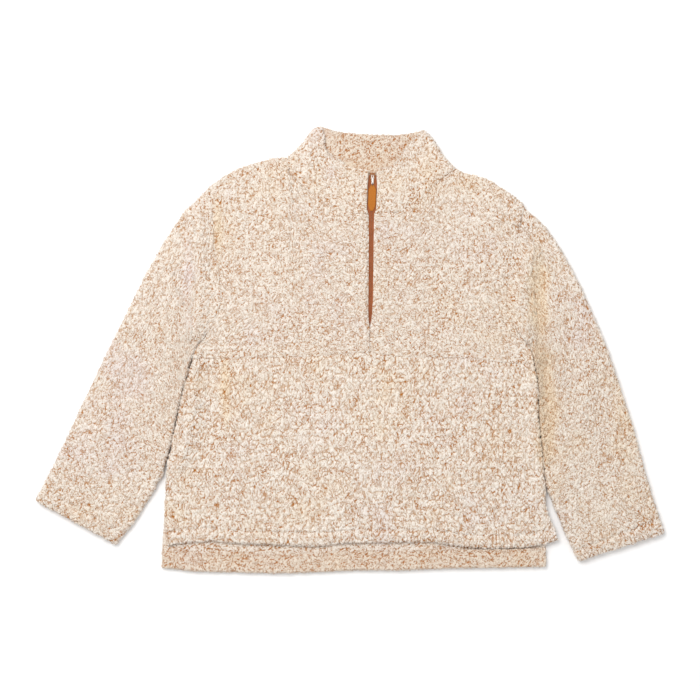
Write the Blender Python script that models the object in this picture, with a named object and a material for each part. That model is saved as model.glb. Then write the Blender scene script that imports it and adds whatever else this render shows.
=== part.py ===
"""Sherpa fleece quarter-zip pullover, laid flat on its back.

Metres, +Z up. The pullover lies on the plane z = 0 with its collar towards +Y. The origin is the middle
of its outline, on that plane. Tables are in millimetres: x to the right, y towards the collar.
"""
import math
from collections import namedtuple

import bmesh
import bpy

MM = 0.001
CLOTH = 7.0            # wall of the fleece: knit ground and curled pile
GAP = 0.3              # between pieces that are sewn or lie together
SEAM = 0.5             # between two curved edges that meet at a seam
FRONT = CLOTH + GAP    # height of the front's underside, on the back
COLLAR_WALL = 7.5
COLLAR_SLIT = 0.6      # between the collar's back and front layers
FREE_EDGE_DROP = 3.4   # the top of the cloth at a free edge, where it rounds over
ZIP_EDGE_DROP = 2.0    # the top of the cloth where it turns in at the zip
COLLAR_ZIP_DROP = 2.5
COLLAR_EDGE_DROP = 2.0
TAPE_HALF = 9.0        # each zip tape, from the middle to its sewn edge
TAPE_THICK = 0.8
TAPE_RISE_FROM = 232   # where the tapes rise from the body onto the collar
TAPE_RISE_TO = 274
TAPE_ROOM = 1.3        # the front is thinner by this over the tape
COLLAR_TAPE_ROOM = 2.0

Point = namedtuple("Point", "x y")
Fold = namedtuple("Fold", "x0 y0 x1 y1 height width")
Slot = namedtuple("Slot", "y x half")
Ring = namedtuple("Ring", "outer_x outer_y inner_x inner_y bow")


def table(kind, *rows):
    return [kind(*row) for row in rows]


# Outlines, in millimetres. Sides run up from the front hem, armholes up from the underarm.
SIDE_LEFT = table(Point, (-299, -321), (-303, -294), (-304, -265), (-303, -232), (-302, -207), (-299, -182),
                  (-292, -149), (-285, -116), (-277, -80), (-269, -47), (-259, -14))
SIDE_RIGHT = table(Point, (342, -312), (338, -298), (330, -281), (323, -260), (320, -223), (317, -179),
                   (312, -143), (309, -103), (309, -67), (306, -40), (302, -24))
UNDERARM_LEFT = table(Point, (-259, -14), (-255, -3), (-252, 8))
UNDERARM_RIGHT = table(Point, (302, -24), (299, -10), (295, 4))
ARMHOLE_LEFT = table(Point, (-252, 8), (-236, 26), (-223, 49), (-214, 77), (-214, 107), (-218, 135),
                     (-224, 164), (-225, 201), (-227, 230), (-234, 265))
ARMHOLE_RIGHT = table(Point, (295, 4), (284, 19), (272, 37), (262, 65), (260, 98), (263, 135),
                      (271, 168), (277, 199), (281, 218), (287, 235))
SHOULDER_LEFT = table(Point, (-234, 265), (-214, 280), (-186, 296), (-162, 305), (-132, 313), (-104, 316))
SHOULDER_RIGHT = table(Point, (175, 298), (190, 290), (223, 281), (254, 263), (275, 248), (287, 235))
NECK_LEFT = table(Point, (-104, 316), (-96, 290), (-78, 271), (-63, 257), (-41, 242), (-15, 230), (8, 225),
                  (36, 225))
NECK_RIGHT = table(Point, (36, 225), (63, 226), (79, 228), (96, 237), (116, 248), (137, 270), (155, 286),
                   (175, 298))
NECK_BACK = table(Point, (-104, 316), (-66, 293), (0, 280), (74, 280), (132, 285), (175, 298))
CROSS_LEFT = table(Point, (-259, -14), (-206, -14), (-165, -12), (-76, -11), (-8, -6), (33, -5))
CROSS_RIGHT = table(Point, (33, -5), (82, -11), (148, -12), (198, -14), (248, -20), (302, -24))
HEM_FRONT_LEFT = table(Point, (-299, -321), (-264, -316), (-224, -314), (-183, -318), (-92, -321),
                       (-54, -322), (-15, -318), (33, -316))
HEM_FRONT_RIGHT = table(Point, (33, -316), (82, -316), (145, -317), (193, -324), (241, -326), (287, -324),
                        (325, -318), (342, -312))
HEM_BACK = table(Point, (-310, -359), (-251, -365), (-198, -366), (-120, -368), (-54, -366), (12, -363),
                 (82, -363), (162, -360), (241, -359), (323, -357))
VENT_LEFT = table(Point, (-310, -359), (-309, -327), (-306, -289), (-304, -265))
VENT_RIGHT = table(Point, (323, -357), (322, -327), (321, -289), (323, -260))
COLLAR_FOLD_LEFT = table(Point, (-104, 316), (-94, 324), (-78, 341), (-63, 360), (-48, 368))
COLLAR_FOLD_RIGHT = table(Point, (175, 298), (165, 306), (153, 321), (138, 345), (122, 362))
COLLAR_TOP_LEFT = table(Point, (-48, 368), (-43, 354), (-40, 329), (-26, 318), (-10, 306), (10, 297), (37, 295))
COLLAR_TOP_RIGHT = table(Point, (37, 297), (66, 301), (77, 309), (91, 328), (106, 347), (122, 362))
COLLAR_TOP_BACK = table(Point, (-48, 368), (-21, 359), (10, 356), (43, 354), (74, 354), (99, 356), (122, 362))

# Sleeves: rings from the armhole to the cuff. bow curves a ring towards the body.
SLEEVE_LEFT = table(Ring, (-271, 229, -261, -17, 19), (-304, 181, -268.5, -41, 12), (-338, 120, -275.5, -67, 7),
                    (-373, 49, -283, -100, 3), (-406, -17, -290.5, -134, 0), (-437, -83, -299, -173, 0),
                    (-458, -128, -309, -206, 0), (-476, -166, -332, -247, 0), (-496, -207, -358, -286, 0),
                    (-517.5, -248, -385, -320, 0))
SLEEVE_RIGHT = table(Ring, (322, 202, 304, -22, 17), (351, 159, 308.5, -44, 10), (380, 103, 310.5, -74, 5),
                     (404, 49, 310.5, -106, 2), (426, -6, 314, -145, 0), (444, -60, 318.5, -182, 0),
                     (464, -123, 322.5, -223, 0), (480, -179, 336, -258, 0), (498, -243, 355, -304, 0),
                     (517.5, -301, 376, -347, 0))

# The slot between the two fronts, where the zip shows, from the top of the collar down.
ZIP_SLOT = table(Slot, (300, 37, 5.2), (284, 37, 5.6), (272, 36.8, 6.8), (232, 35.4, 6.8), (224, 35.2, 4.0),
                 (181, 35, 3.5), (82, 34, 3.3), (50, 32.8, 2.2), (36, 32.5, 0.3), (-330, 33, 0.25))

# The largest folds: ridges are above the cloth, troughs below.
FRONT_FOLDS = table(Fold, (-252, -4, -262, -118, 6, 10), (-262, -118, -280, -190, 6, 10),
                    (-223, -32, -229, -112, -3, 14), (-229, -112, -240, -184, -3, 14),
                    (-177, -40, -172, -95, 3, 11), (303, -10, 303, -90, 5, 12), (303, -90, 306, -170, 5, 12),
                    (306, -170, 314, -240, 4, 11), (231, 239, 272, 214, 4, 20), (-210, 215, -205, 70, -2, 18))
SLEEVE_FOLDS = table(Fold, (-249, 222, -246, 120, 8, 15), (-246, 120, -254, 30, 8, 15),
                     (-259, -2, -274, -86, 7, 11), (-274, -86, -296, -165, 6, 11),
                     (284, 215, 300, 196, -3, 10), (300, 196, 342, 125, -4, 13), (296, 160, 278, 74, 7, 14),
                     (278, 74, 290, 20, 6, 13), (318, 135, 322, 30, -4, 18), (326, -30, 338, -170, -3, 18))
COLLAR_FOLDS = table(Fold, (-75, 320, -62, 268, 3, 12), (90, 270, 150, 300, 2, 22))

# Thickening of a turned hem: distance from its edge, and how much the cloth rises.
Hem = namedtuple("Hem", "inset rise")
HEM_TURN = table(Hem, (0, -3.0), (5, 1.2), (14, 1.8), (21, -1.5), (30, 0))
HEM_TURN_WALL = 5.0    # the back hem's turned allowance, as it lies pressed on the back
HEM_TURN_DEPTH = 31.0
HEM_TURN_EDGE = 1.5    # the turned allowance stops this far inside the back's own edges
HEM_TURN_DROP = 1.8    # the top of the turned allowance at its edges

# Zip slider, pull link, ring and tab. The bail's middle is the link's axis.
SLIDER_Y = 287.0
SLIDER_X = 37.0
LINK_Z = 11.75
LINK_LENGTH = 15.0
LINK_THICK = 1.0
RING_RADIUS = 2.2
RING_WIRE = 0.4
RING_Z = 12.7
TAB_LENGTH = 43.0
TAB_THICK = 1.6
TAB_DROP = 3.2         # how far the tab's lower end lies below the ring

COLOURS = {"fleece": (0.78, 0.66, 0.55, 1), "tape": (0.36, 0.11, 0.04, 1), "metal": (0.72, 0.72, 0.72, 1),
           "leather": (0.53, 0.20, 0.03, 1)}
ROUGHNESS = {"fleece": 0.95, "tape": 0.8, "metal": 0.25, "leather": 0.55}


def clear_scene():
    for thing in list(bpy.data.objects):
        bpy.data.objects.remove(thing, do_unlink=True)


def make_collection(name):
    collection = bpy.data.collections.new(name)
    bpy.context.scene.collection.children.link(collection)
    return collection


def finish_material(name, kind):
    material = bpy.data.materials.new(name)
    material.use_nodes = True
    shader = material.node_tree.nodes["Principled BSDF"]
    shader.inputs["Base Color"].default_value = COLOURS[kind]
    shader.inputs["Roughness"].default_value = ROUGHNESS[kind]
    shader.inputs["Metallic"].default_value = 1.0 if kind == "metal" else 0.0
    return material


# ---------------------------------------------------------------- lines and shapes in plan

def smooth_line(points, steps=4):
    """A smooth line through the points of a table, as (x, y) pairs."""
    padded = [points[0]] + list(points) + [points[-1]]
    line = []
    for before, start, end, after in zip(padded, padded[1:], padded[2:], padded[3:]):
        for step in range(steps):
            t = step / steps
            line.append(tuple(spline_value(before[k], start[k], end[k], after[k], t) for k in (0, 1)))
    line.append((points[-1][0], points[-1][1]))
    return line


def spline_value(a, b, c, d, t):
    return 0.5 * (2 * b + (c - a) * t + (2 * a - 5 * b + 4 * c - d) * t * t
                  + (3 * b - a - 3 * c + d) * t * t * t)


def even_fractions(count, tight=0.0):
    """Fractions from 0 to 1, with a narrow first and last step if tight is given."""
    inner = [step / count for step in range(count + 1)]
    if not tight:
        return inner
    return [0.0] + [tight + (1 - 2 * tight) * value for value in inner] + [1.0]


def at_fractions(line, fractions):
    """Points at these fractions of the line's length."""
    lengths = [0.0]
    for (x0, y0), (x1, y1) in zip(line, line[1:]):
        lengths.append(lengths[-1] + math.hypot(x1 - x0, y1 - y0))
    found = []
    for fraction in fractions:
        goal = fraction * lengths[-1]
        index = 0
        while index < len(line) - 2 and lengths[index + 1] < goal:
            index += 1
        span = lengths[index + 1] - lengths[index]
        t = (goal - lengths[index]) / span if span else 0.0
        found.append(tuple(line[index][k] + (line[index + 1][k] - line[index][k]) * t for k in (0, 1)))
    return found


def shifted(line, distance):
    """The line moved sideways, to the left of its direction for a positive distance."""
    moved = []
    for index, (x, y) in enumerate(line):
        x0, y0 = line[max(index - 1, 0)]
        x1, y1 = line[min(index + 1, len(line) - 1)]
        length = math.hypot(x1 - x0, y1 - y0) or 1.0
        moved.append((x - (y1 - y0) / length * distance, y + (x1 - x0) / length * distance))
    return moved


def patch(left, right, bottom, top):
    """A grid of points between four edge lines that share their corners."""
    rows = []
    for i, (start, end) in enumerate(zip(left, right)):
        v = i / (len(left) - 1)
        row = []
        for j, (low, high) in enumerate(zip(bottom, top)):
            u = j / (len(bottom) - 1)
            point = []
            for k in (0, 1):
                across = start[k] + (end[k] - start[k]) * u
                along = low[k] + (high[k] - low[k]) * v
                corners = ((1 - u) * (1 - v) * bottom[0][k] + u * (1 - v) * bottom[-1][k]
                           + (1 - u) * v * top[0][k] + u * v * top[-1][k])
                point.append(across + along - corners)
            row.append(tuple(point))
        rows.append(row)
    return rows


def slot_at(y):
    """Middle and half width of the zip's slot at this height."""
    for high, low in zip(ZIP_SLOT, ZIP_SLOT[1:]):
        if y >= low.y:
            t = min((high.y - y) / (high.y - low.y), 1.0) if y < high.y else 0.0
            return high.x + (low.x - high.x) * t, high.half + (low.half - high.half) * t
    return ZIP_SLOT[-1].x, ZIP_SLOT[-1].half


def fold_height(folds, x, y):
    """Rise of the cloth at a point: the largest ridge there, plus the deepest trough."""
    ridge = trough = 0.0
    for fold in folds:
        dx, dy = fold.x1 - fold.x0, fold.y1 - fold.y0
        t = ((x - fold.x0) * dx + (y - fold.y0) * dy) / (dx * dx + dy * dy)
        near = min(max(t, 0.0), 1.0)
        distance = math.hypot(x - fold.x0 - near * dx, y - fold.y0 - near * dy)
        rise = fold.height * math.exp(-(distance / fold.width) ** 2)
        ridge = max(ridge, rise)
        trough = min(trough, rise)
    return ridge + trough


# ---------------------------------------------------------------- solids

def add_object(name, mesh_or_curve, collection, kind):
    thing = bpy.data.objects.new(name, mesh_or_curve)
    mesh_or_curve.materials.append(finish_material(name, kind))
    collection.objects.link(thing)
    return thing


def mesh_object(name, bm, collection, kind):
    """A mesh object in metres from a bmesh in millimetres."""
    bmesh.ops.scale(bm, vec=(MM, MM, MM), verts=bm.verts)
    bmesh.ops.triangulate(bm, faces=bm.faces)
    bmesh.ops.recalc_face_normals(bm, faces=bm.faces)
    mesh = bpy.data.meshes.new(name)
    bm.to_mesh(mesh)
    bm.free()
    thing = add_object(name, mesh, collection, kind)
    mesh.shade_smooth()
    mesh.set_sharp_from_angle(angle=math.radians(45))
    return thing


def sheet_solid(name, grid, under, over, collection):
    """A closed cloth panel from a plan grid, with its underside and top as functions of row, column and place."""
    bm = bmesh.new()
    layers = []
    for height in (under, over):
        layers.append([[bm.verts.new((x, y, height(i, j, x, y))) for j, (x, y) in enumerate(row)]
                       for i, row in enumerate(grid)])
    low, high = layers
    rows, columns = len(grid), len(grid[0])
    for i in range(rows - 1):
        for j in range(columns - 1):
            bm.faces.new((high[i][j], high[i][j + 1], high[i + 1][j + 1], high[i + 1][j]))
            bm.faces.new((low[i][j], low[i + 1][j], low[i + 1][j + 1], low[i][j + 1]))
    rim = ([(0, j) for j in range(columns)] + [(i, columns - 1) for i in range(1, rows)]
           + [(rows - 1, j) for j in range(columns - 2, -1, -1)] + [(i, 0) for i in range(rows - 2, 0, -1)])
    for (i, j), (m, n) in zip(rim, rim[1:] + rim[:1]):
        bm.faces.new((low[i][j], low[m][n], high[m][n], high[i][j]))
    return mesh_object(name, bm, collection, "fleece")


def edge_round(i, j, rows, columns, sides):
    """How much a free edge's top is drawn down, by how near the edge the grid point is."""
    drop = 0.0
    for side, place in (("bottom", i), ("top", rows - 1 - i), ("left", j), ("right", columns - 1 - j)):
        if side in sides and place == 0:
            drop = FREE_EDGE_DROP
    return drop


def tube_solid(name, sections, slit, wall, folds, rises, collection):
    """A flat tube of cloth through its sections, open at both ends. The slit is the space inside.

    Its inner side is rounded less near the underarm, where the sections run almost along that side.
    """
    bm = bmesh.new()
    turns = [math.radians(angle) for angle in (-60, -30, 0, 30, 60)]
    outer_rings = []
    inner_rings = []
    middle = wall + slit / 2
    for index, (section, rise) in enumerate(zip(sections, rises)):
        side_round = min(1.2 + 0.7 * index, middle)
        outer_rings.append(flat_ring(bm, section, middle, middle, side_round, turns, folds, rise))
        inner_rings.append(flat_ring(bm, section, middle, slit / 2, middle, turns, folds, rise))
    for rings in (outer_rings, inner_rings):
        for ring, following in zip(rings, rings[1:]):
            join_rings(bm, ring, following)
    for end in (0, -1):
        join_rings(bm, outer_rings[end], inner_rings[end])
    return mesh_object(name, bm, collection, "fleece")


def flat_ring(bm, section, middle, radius, last_inset, turns, folds, rise):
    """One ring: along the top of a section, round its end, back along the underside and round again."""
    length = sum(math.hypot(b[0] - a[0], b[1] - a[1]) for a, b in zip(section, section[1:]))
    first, last = middle / length, last_inset / length
    count = len(section) - 1
    line = at_fractions(section, [first + (1 - first - last) * step / count for step in range(count + 1)])
    ring = []
    lowest = -CLOTH if radius == middle else 0.0
    for x, y in line:
        lift = max(rise + fold_height(folds, x, y), lowest)
        ring.append(bm.verts.new((x, y, middle + radius + lift)))
    last_reach = last_inset / middle * radius
    ring += ring_end(bm, line[-1], section[-1], middle, radius, last_reach, turns[::-1], folds, rise)
    for x, y in reversed(line):
        ring.append(bm.verts.new((x, y, middle - radius)))
    ring += ring_end(bm, line[0], section[0], middle, radius, radius, turns, folds, rise)
    return ring


def ring_end(bm, centre, tip, middle, radius, reach, turns, folds, rise):
    """The rounded side of a ring, from the centre of its turn towards the section's tip."""
    dx, dy = tip[0] - centre[0], tip[1] - centre[1]
    length = math.hypot(dx, dy)
    lift = max(rise + fold_height(folds, *centre), -CLOTH if radius == middle else 0.0)
    verts = []
    for turn in turns:
        out = reach * math.cos(turn) / length
        share = (1 + math.sin(turn)) / 2
        verts.append(bm.verts.new((centre[0] + dx * out, centre[1] + dy * out,
                                   middle + radius * math.sin(turn) + lift * share)))
    return verts


def join_rings(bm, ring, following):
    for k in range(len(ring)):
        after = (k + 1) % len(ring)
        bm.faces.new((ring[k], ring[after], following[after], following[k]))


# ---------------------------------------------------------------- body panels

def zip_edge(top, bottom, side, steps):
    """The front's edge along the zip's slot, from the cross seam up to the neck."""
    edge = []
    for step in range(steps + 1):
        y = bottom + (top - bottom) * step / steps
        middle, half = slot_at(y)
        edge.append((middle + side * half, y))
    return edge


def upper_front(name, side, underarm, armhole, shoulder, neck, cross, collection):
    """One upper front, from the cross seam to the shoulder and neck. side is -1 left, 1 right."""
    arm_line = shifted(smooth_line(armhole), side * SEAM / 2)
    outer_edge = at_fractions(smooth_line(underarm, 2), (0, 0.5)) + at_fractions(arm_line, even_fractions(13))
    rows = len(outer_edge)
    across = even_fractions(5)
    neck_share = even_fractions(6)[:-1] + [0.93, 1.0]
    cross_share = even_fractions(11)[:-1] + [0.955, 1.0]
    if side < 0:
        top = at_fractions(smooth_line(shoulder), across) + at_fractions(smooth_line(neck), neck_share)[1:]
        low = at_fractions(smooth_line(cross), cross_share)
    else:
        neck_share = [1 - share for share in reversed(neck_share)]
        cross_share = [1 - share for share in reversed(cross_share)]
        top = at_fractions(smooth_line(neck), neck_share) + at_fractions(smooth_line(shoulder), across)[1:]
        low = at_fractions(smooth_line(cross), cross_share)
    inner = zip_edge(neck[-1 if side < 0 else 0].y, cross[-1 if side < 0 else 0].y, side, rows - 1)
    if side < 0:
        top[-1], low[-1] = inner[-1], inner[0]
        outer_edge[0], outer_edge[-1] = low[0], top[0]
        grid = patch(outer_edge, inner, low, top)
    else:
        top[0], low[0] = inner[-1], inner[0]
        outer_edge[0], outer_edge[-1] = low[-1], top[-1]
        grid = patch(inner, outer_edge, low, top)
    columns = len(low)
    free = {"left", "top"} if side < 0 else {"right", "top"}
    grid = drawn_in(grid)

    def under(i, j, x, y):
        middle, half = slot_at(y)
        from_zip = abs(x - middle)
        over_tape = min(max((TAPE_HALF + 19 - from_zip) / 9, 0.0), 1.0)
        return FRONT + TAPE_ROOM * over_tape + max(fold_height(FRONT_FOLDS, x, y), 0)

    def over(i, j, x, y):
        rolled = ZIP_EDGE_DROP if j == (columns - 1 if side < 0 else 0) else 0.0
        return FRONT + CLOTH + fold_height(FRONT_FOLDS, x, y) - rolled - edge_round(i, j, rows, columns, free)

    return sheet_solid(name, grid, under, over, collection)


def drawn_in(grid):
    """The panel's grid with its rim moved in by the seam's gap, so that neighbours stay clear."""
    rows, columns = len(grid), len(grid[0])
    moved = [list(row) for row in grid]
    for i in range(rows):
        for j in range(columns):
            x, y = grid[i][j]
            if i in (0, rows - 1):
                inner = grid[1 if i == 0 else rows - 2][j]
                x, y = nudged((x, y), inner)
            if j in (0, columns - 1):
                inner = grid[i][1 if j == 0 else columns - 2]
                x, y = nudged((x, y), inner)
            moved[i][j] = (x, y)
    return moved


def nudged(point, towards):
    dx, dy = towards[0] - point[0], towards[1] - point[1]
    length = math.hypot(dx, dy)
    return point[0] + dx / length * GAP, point[1] + dy / length * GAP


def side_rows(side_line, rows):
    """The side of the lower front: a row at each step of the hem's turn, then even rows up to the seam."""
    total = abs(side_line[-1][1] - side_line[0][1])
    hem = [row.inset / total for row in HEM_TURN]
    rest = [hem[-1] + (1 - hem[-1]) * step / rows for step in range(1, rows + 1)]
    return at_fractions(side_line, hem + rest)


def lower_front(collection):
    left = side_rows(smooth_line(SIDE_LEFT), 12)
    right = side_rows(smooth_line(SIDE_RIGHT), 12)
    half = even_fractions(10)
    bottom = at_fractions(smooth_line(HEM_FRONT_LEFT), half) + at_fractions(smooth_line(HEM_FRONT_RIGHT), half)[1:]
    top = at_fractions(smooth_line(CROSS_LEFT), half) + at_fractions(smooth_line(CROSS_RIGHT), half)[1:]
    grid = drawn_in(patch(left, right, bottom, top))
    rows, columns = len(grid), len(grid[0])

    def under(i, j, x, y):
        return FRONT + max(fold_height(FRONT_FOLDS, x, y), 0)

    def over(i, j, x, y):
        rise = HEM_TURN[i].rise if i < len(HEM_TURN) else 0.0
        drop = edge_round(i, j, rows, columns, {"left", "right"})
        return FRONT + CLOTH + rise + fold_height(FRONT_FOLDS, x, y) - drop

    return sheet_solid("lower_front", grid, under, over, collection)


def back_panel(collection):
    """The whole back, from its hem up the vents, sides and armholes to the shoulders and neck."""
    edges = []
    for vent, side, underarm, armhole, sign in ((VENT_LEFT, SIDE_LEFT, UNDERARM_LEFT, ARMHOLE_LEFT, -1),
                                                (VENT_RIGHT, SIDE_RIGHT, UNDERARM_RIGHT, ARMHOLE_RIGHT, 1)):
        upper_side = [point for point in side if point.y >= vent[-1].y]
        edge = at_fractions(smooth_line(vent), (0, 0.06, 0.5, 1))
        edge += at_fractions(smooth_line(upper_side), even_fractions(8))[1:]
        edge += at_fractions(smooth_line(underarm, 2), (0.5,))
        edge += at_fractions(shifted(smooth_line(armhole), sign * SEAM / 2), even_fractions(14))
        edges.append(edge)
    shoulder, neck = even_fractions(5), even_fractions(10)
    top = (at_fractions(smooth_line(SHOULDER_LEFT), shoulder) + at_fractions(smooth_line(NECK_BACK), neck)[1:]
           + at_fractions(smooth_line(SHOULDER_RIGHT), shoulder)[1:])
    bottom = at_fractions(smooth_line(HEM_BACK), even_fractions(len(top) - 1))
    for edge, corner in zip(edges, (0, -1)):
        edge[-1] = top[corner]
    grid = drawn_in(patch(edges[0], edges[1], bottom, top))
    rows, columns = len(grid), len(grid[0])

    def under(i, j, x, y):
        return 0.0

    def over(i, j, x, y):
        return CLOTH

    return sheet_solid("back", grid, under, over, collection)


def back_hem(collection):
    """The back hem's allowance, turned up and lying on the back's inner face."""
    across = even_fractions(20, 0.012)
    edge = at_fractions(smooth_line(HEM_BACK), across)
    grid = []
    for depth in (HEM_TURN_EDGE, 6.0, 18.0, HEM_TURN_DEPTH):
        row = shifted(edge, depth)
        low, high = edge[0][0] + HEM_TURN_EDGE, edge[-1][0] - HEM_TURN_EDGE
        grid.append([(min(max(x, low), high), y) for x, y in row])
    rows, columns = len(grid), len(grid[0])

    def under(i, j, x, y):
        return FRONT

    def over(i, j, x, y):
        at_rim = i in (0, rows - 1) or j in (0, columns - 1)
        return FRONT + HEM_TURN_WALL - (HEM_TURN_DROP if at_rim else 0.0)

    return sheet_solid("back_hem", grid, under, over, collection)


# ---------------------------------------------------------------- sleeves and collar

def bowed(row, count, side):
    """A ring's line across the sleeve, from its outer edge to its inner edge, fullest a third of the way."""
    x0, y0, x1, y1 = row.outer_x, row.outer_y, row.inner_x, row.inner_y
    length = math.hypot(x1 - x0, y1 - y0)
    nx, ny = (y1 - y0) / length * side, -(x1 - x0) / length * side
    line = []
    for step in range(count + 1):
        t = step / count
        swell = row.bow * 6.75 * t * (1 - t) ** 2
        line.append((x0 + (x1 - x0) * t + nx * swell, y0 + (y1 - y0) * t + ny * swell))
    return line


def between(first, second, t):
    return [(a[0] + (b[0] - a[0]) * t, a[1] + (b[1] - a[1]) * t) for a, b in zip(first, second)]


def sleeve(name, side, armhole, rings, collection):
    """A sleeve: a flat tube from the armhole to its turned cuff. side is -1 left, 1 right."""
    count = 14
    clear = shifted(smooth_line(armhole), -side * (SEAM / 2 + 0.5 * GAP))
    start = at_fractions(clear, even_fractions(count))[::-1]
    start[-1] = (start[-1][0] + side * 7 * SEAM, start[-1][1] + 2 * SEAM)
    lines = [start] + [bowed(row, count, side) for row in rings]
    sections = []
    for index, (first, second) in enumerate(zip(lines, lines[1:-1])):
        sections.append(first)
        if index < 5:
            sections.append(between(first, second, 0.5))
    sections.append(lines[-2])
    last = math.hypot(lines[-1][0][0] - lines[-2][0][0], lines[-1][0][1] - lines[-2][0][1])
    rises = [0.0] * len(sections)
    for row in reversed(HEM_TURN):
        sections.append(between(lines[-1], lines[-2], row.inset / last))
        rises.append(max(row.rise, -1.5))
    return tube_solid(name, sections, GAP * 2, CLOTH - GAP / 2, SLEEVE_FOLDS, rises, collection)


def collar(collection):
    """The stand collar, folded flat: its front halves lie on its back, and part at the zip."""
    front_count, back_count = 9, 14
    turns = [math.radians(angle) for angle in (60, 30, 0, -30, -60)]
    radius = COLLAR_WALL + COLLAR_SLIT / 2
    bm = bmesh.new()
    outers = []
    inners = []
    for level in (0.0, 0.1, 0.3, 0.55, 0.78, 0.93, 1.0):
        along = max(level, 0.03)
        fold = [at_fractions(smooth_line(line), (along,))[0] for line in (COLLAR_FOLD_LEFT, COLLAR_FOLD_RIGHT)]
        left = collar_line(NECK_LEFT, COLLAR_TOP_LEFT, level, front_count)
        right = collar_line(NECK_RIGHT, COLLAR_TOP_RIGHT, level, front_count)
        back = collar_line(NECK_BACK, COLLAR_TOP_BACK, level, back_count)
        left[0] = back[0] = fold[0]
        right[-1] = back[-1] = fold[1]
        middle, half = slot_at(left[-1][1])
        left[-1] = (middle - half - GAP, left[-1][1])
        right[0] = (middle + half + GAP, right[0][1])
        for lines, reach in ((outers, radius), (inners, COLLAR_SLIT / 2)):
            lines.append(collar_ring(bm, left, right, back, radius, reach, turns, level))
    for rings in (outers, inners):
        for ring, following in zip(rings, rings[1:]):
            join_strip(bm, ring, following)
    for end in (0, -1):
        join_strip(bm, outers[end], inners[end])
    for end in (0, -1):
        join_strip(bm, [ring[end] for ring in outers], [ring[end] for ring in inners])
    return mesh_object("collar", bm, collection, "fleece")


def collar_line(neck, top, level, count):
    low = at_fractions(shifted(smooth_line(neck), 3.5 * SEAM), even_fractions(count))
    high = at_fractions(smooth_line(top), even_fractions(count))
    return between(low, high, level)


def collar_ring(bm, left, right, back, middle, reach, turns, level):
    """One level of the collar: left front, round the fold, the back, round the other fold, right front."""
    outside = reach > COLLAR_SLIT
    edge_drop = COLLAR_EDGE_DROP if outside and level == 1.0 else 0.0
    base = GAP if level == 0.0 else 0.0

    def top_height(x, y, index):
        rise = fold_height(COLLAR_FOLDS, x, y)
        if outside:
            near_zip = COLLAR_ZIP_DROP if index == 0 else 0.0
            return middle + reach + rise - edge_drop - near_zip
        from_zip = 1.0 if index <= 1 else 0.0
        return middle + reach + base + max(rise, 0) + COLLAR_TAPE_ROOM * from_zip

    def inset(line):
        length = sum(math.hypot(b[0] - a[0], b[1] - a[1]) for a, b in zip(line, line[1:]))
        return middle * min(1.0, 1.45 - level) / length

    count = len(left) - 1
    share = inset(left)
    left_line = at_fractions(left, [share + (1 - share) * step / count for step in range(count + 1)])
    share = inset(right)
    right_line = at_fractions(right, [(1 - share) * step / count for step in range(count + 1)])
    share = inset(back)
    count = len(back) - 1
    back_line = at_fractions(back, [share + (1 - 2 * share) * step / count for step in range(count + 1)])
    ring = []
    for index, (x, y) in enumerate(reversed(left_line)):
        ring.append(bm.verts.new((x, y, top_height(x, y, index))))
    ring += collar_turn(bm, left_line[0], back_line[0], left[0], middle, reach, turns)
    for x, y in back_line:
        ring.append(bm.verts.new((x, y, max(middle - reach, 0.0))))
    ring += collar_turn(bm, right_line[-1], back_line[-1], right[-1], middle, reach, turns[::-1])
    for index, (x, y) in enumerate(reversed(right_line)):
        ring.append(bm.verts.new((x, y, top_height(x, y, len(right_line) - 1 - index))))
    return ring


def collar_turn(bm, front, back, tip, middle, reach, turns):
    """The collar's rolled side, between the ends of its front and back lines."""
    verts = []
    for turn in turns:
        share = (1 + math.sin(turn)) / 2
        cx = back[0] + (front[0] - back[0]) * share
        cy = back[1] + (front[1] - back[1]) * share
        dx, dy = tip[0] - cx, tip[1] - cy
        out = reach / middle * math.cos(turn)
        verts.append(bm.verts.new((cx + dx * out, cy + dy * out, middle + reach * math.sin(turn))))
    return verts


def join_strip(bm, line, following):
    for k in range(len(line) - 1):
        bm.faces.new((line[k], line[k + 1], following[k + 1], following[k]))


# ---------------------------------------------------------------- zip

def tape_height(y):
    """Height of the tape's underside: on the back at first, then over the collar's back layer."""
    t = min(max((y - TAPE_RISE_FROM) / (TAPE_RISE_TO - TAPE_RISE_FROM), 0.0), 1.0)
    low, high = FRONT + 0.2, COLLAR_WALL + COLLAR_SLIT + 0.8
    return low + (high - low) * t * t * (3 - 2 * t)


def zip_tape(name, side, collection):
    """Half of the zip's tape, from below the bottom stop up to the slider. side is -1 left, 1 right."""
    bm = bmesh.new()
    sections = []
    for y in (22, 50, 82, 130, 181, 205, TAPE_RISE_FROM, 242, 253, 264, TAPE_RISE_TO, SLIDER_Y + 0.5):
        middle, half = slot_at(max(y, 50))
        inner = middle + side * GAP / 2
        outer = middle + side * TAPE_HALF
        low = tape_height(y)
        ring = [bm.verts.new((x, y, z)) for x, z in ((inner, low), (outer, low), (outer, low + TAPE_THICK),
                                                     (inner, low + TAPE_THICK))]
        sections.append(ring)
    for ring, following in zip(sections, sections[1:]):
        join_rings(bm, ring, following)
    bm.faces.new(sections[0])
    bm.faces.new(sections[-1])
    return mesh_object(name, bm, collection, "tape")


def outline_solid(name, outlines, thickness, collection, kind, holes=()):
    """A flat piece from closed outlines in its own plane, in millimetres."""
    curve = bpy.data.curves.new(name, "CURVE")
    curve.dimensions = "2D"
    curve.fill_mode = "BOTH"
    curve.extrude = thickness * MM / 2
    for outline in list(outlines) + list(holes):
        spline = curve.splines.new("POLY")
        spline.points.add(len(outline) - 1)
        for point, (x, y) in zip(spline.points, outline):
            point.co = (x * MM, y * MM, 0, 1)
        spline.use_cyclic_u = True
    return add_object(name, curve, collection, kind)


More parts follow.
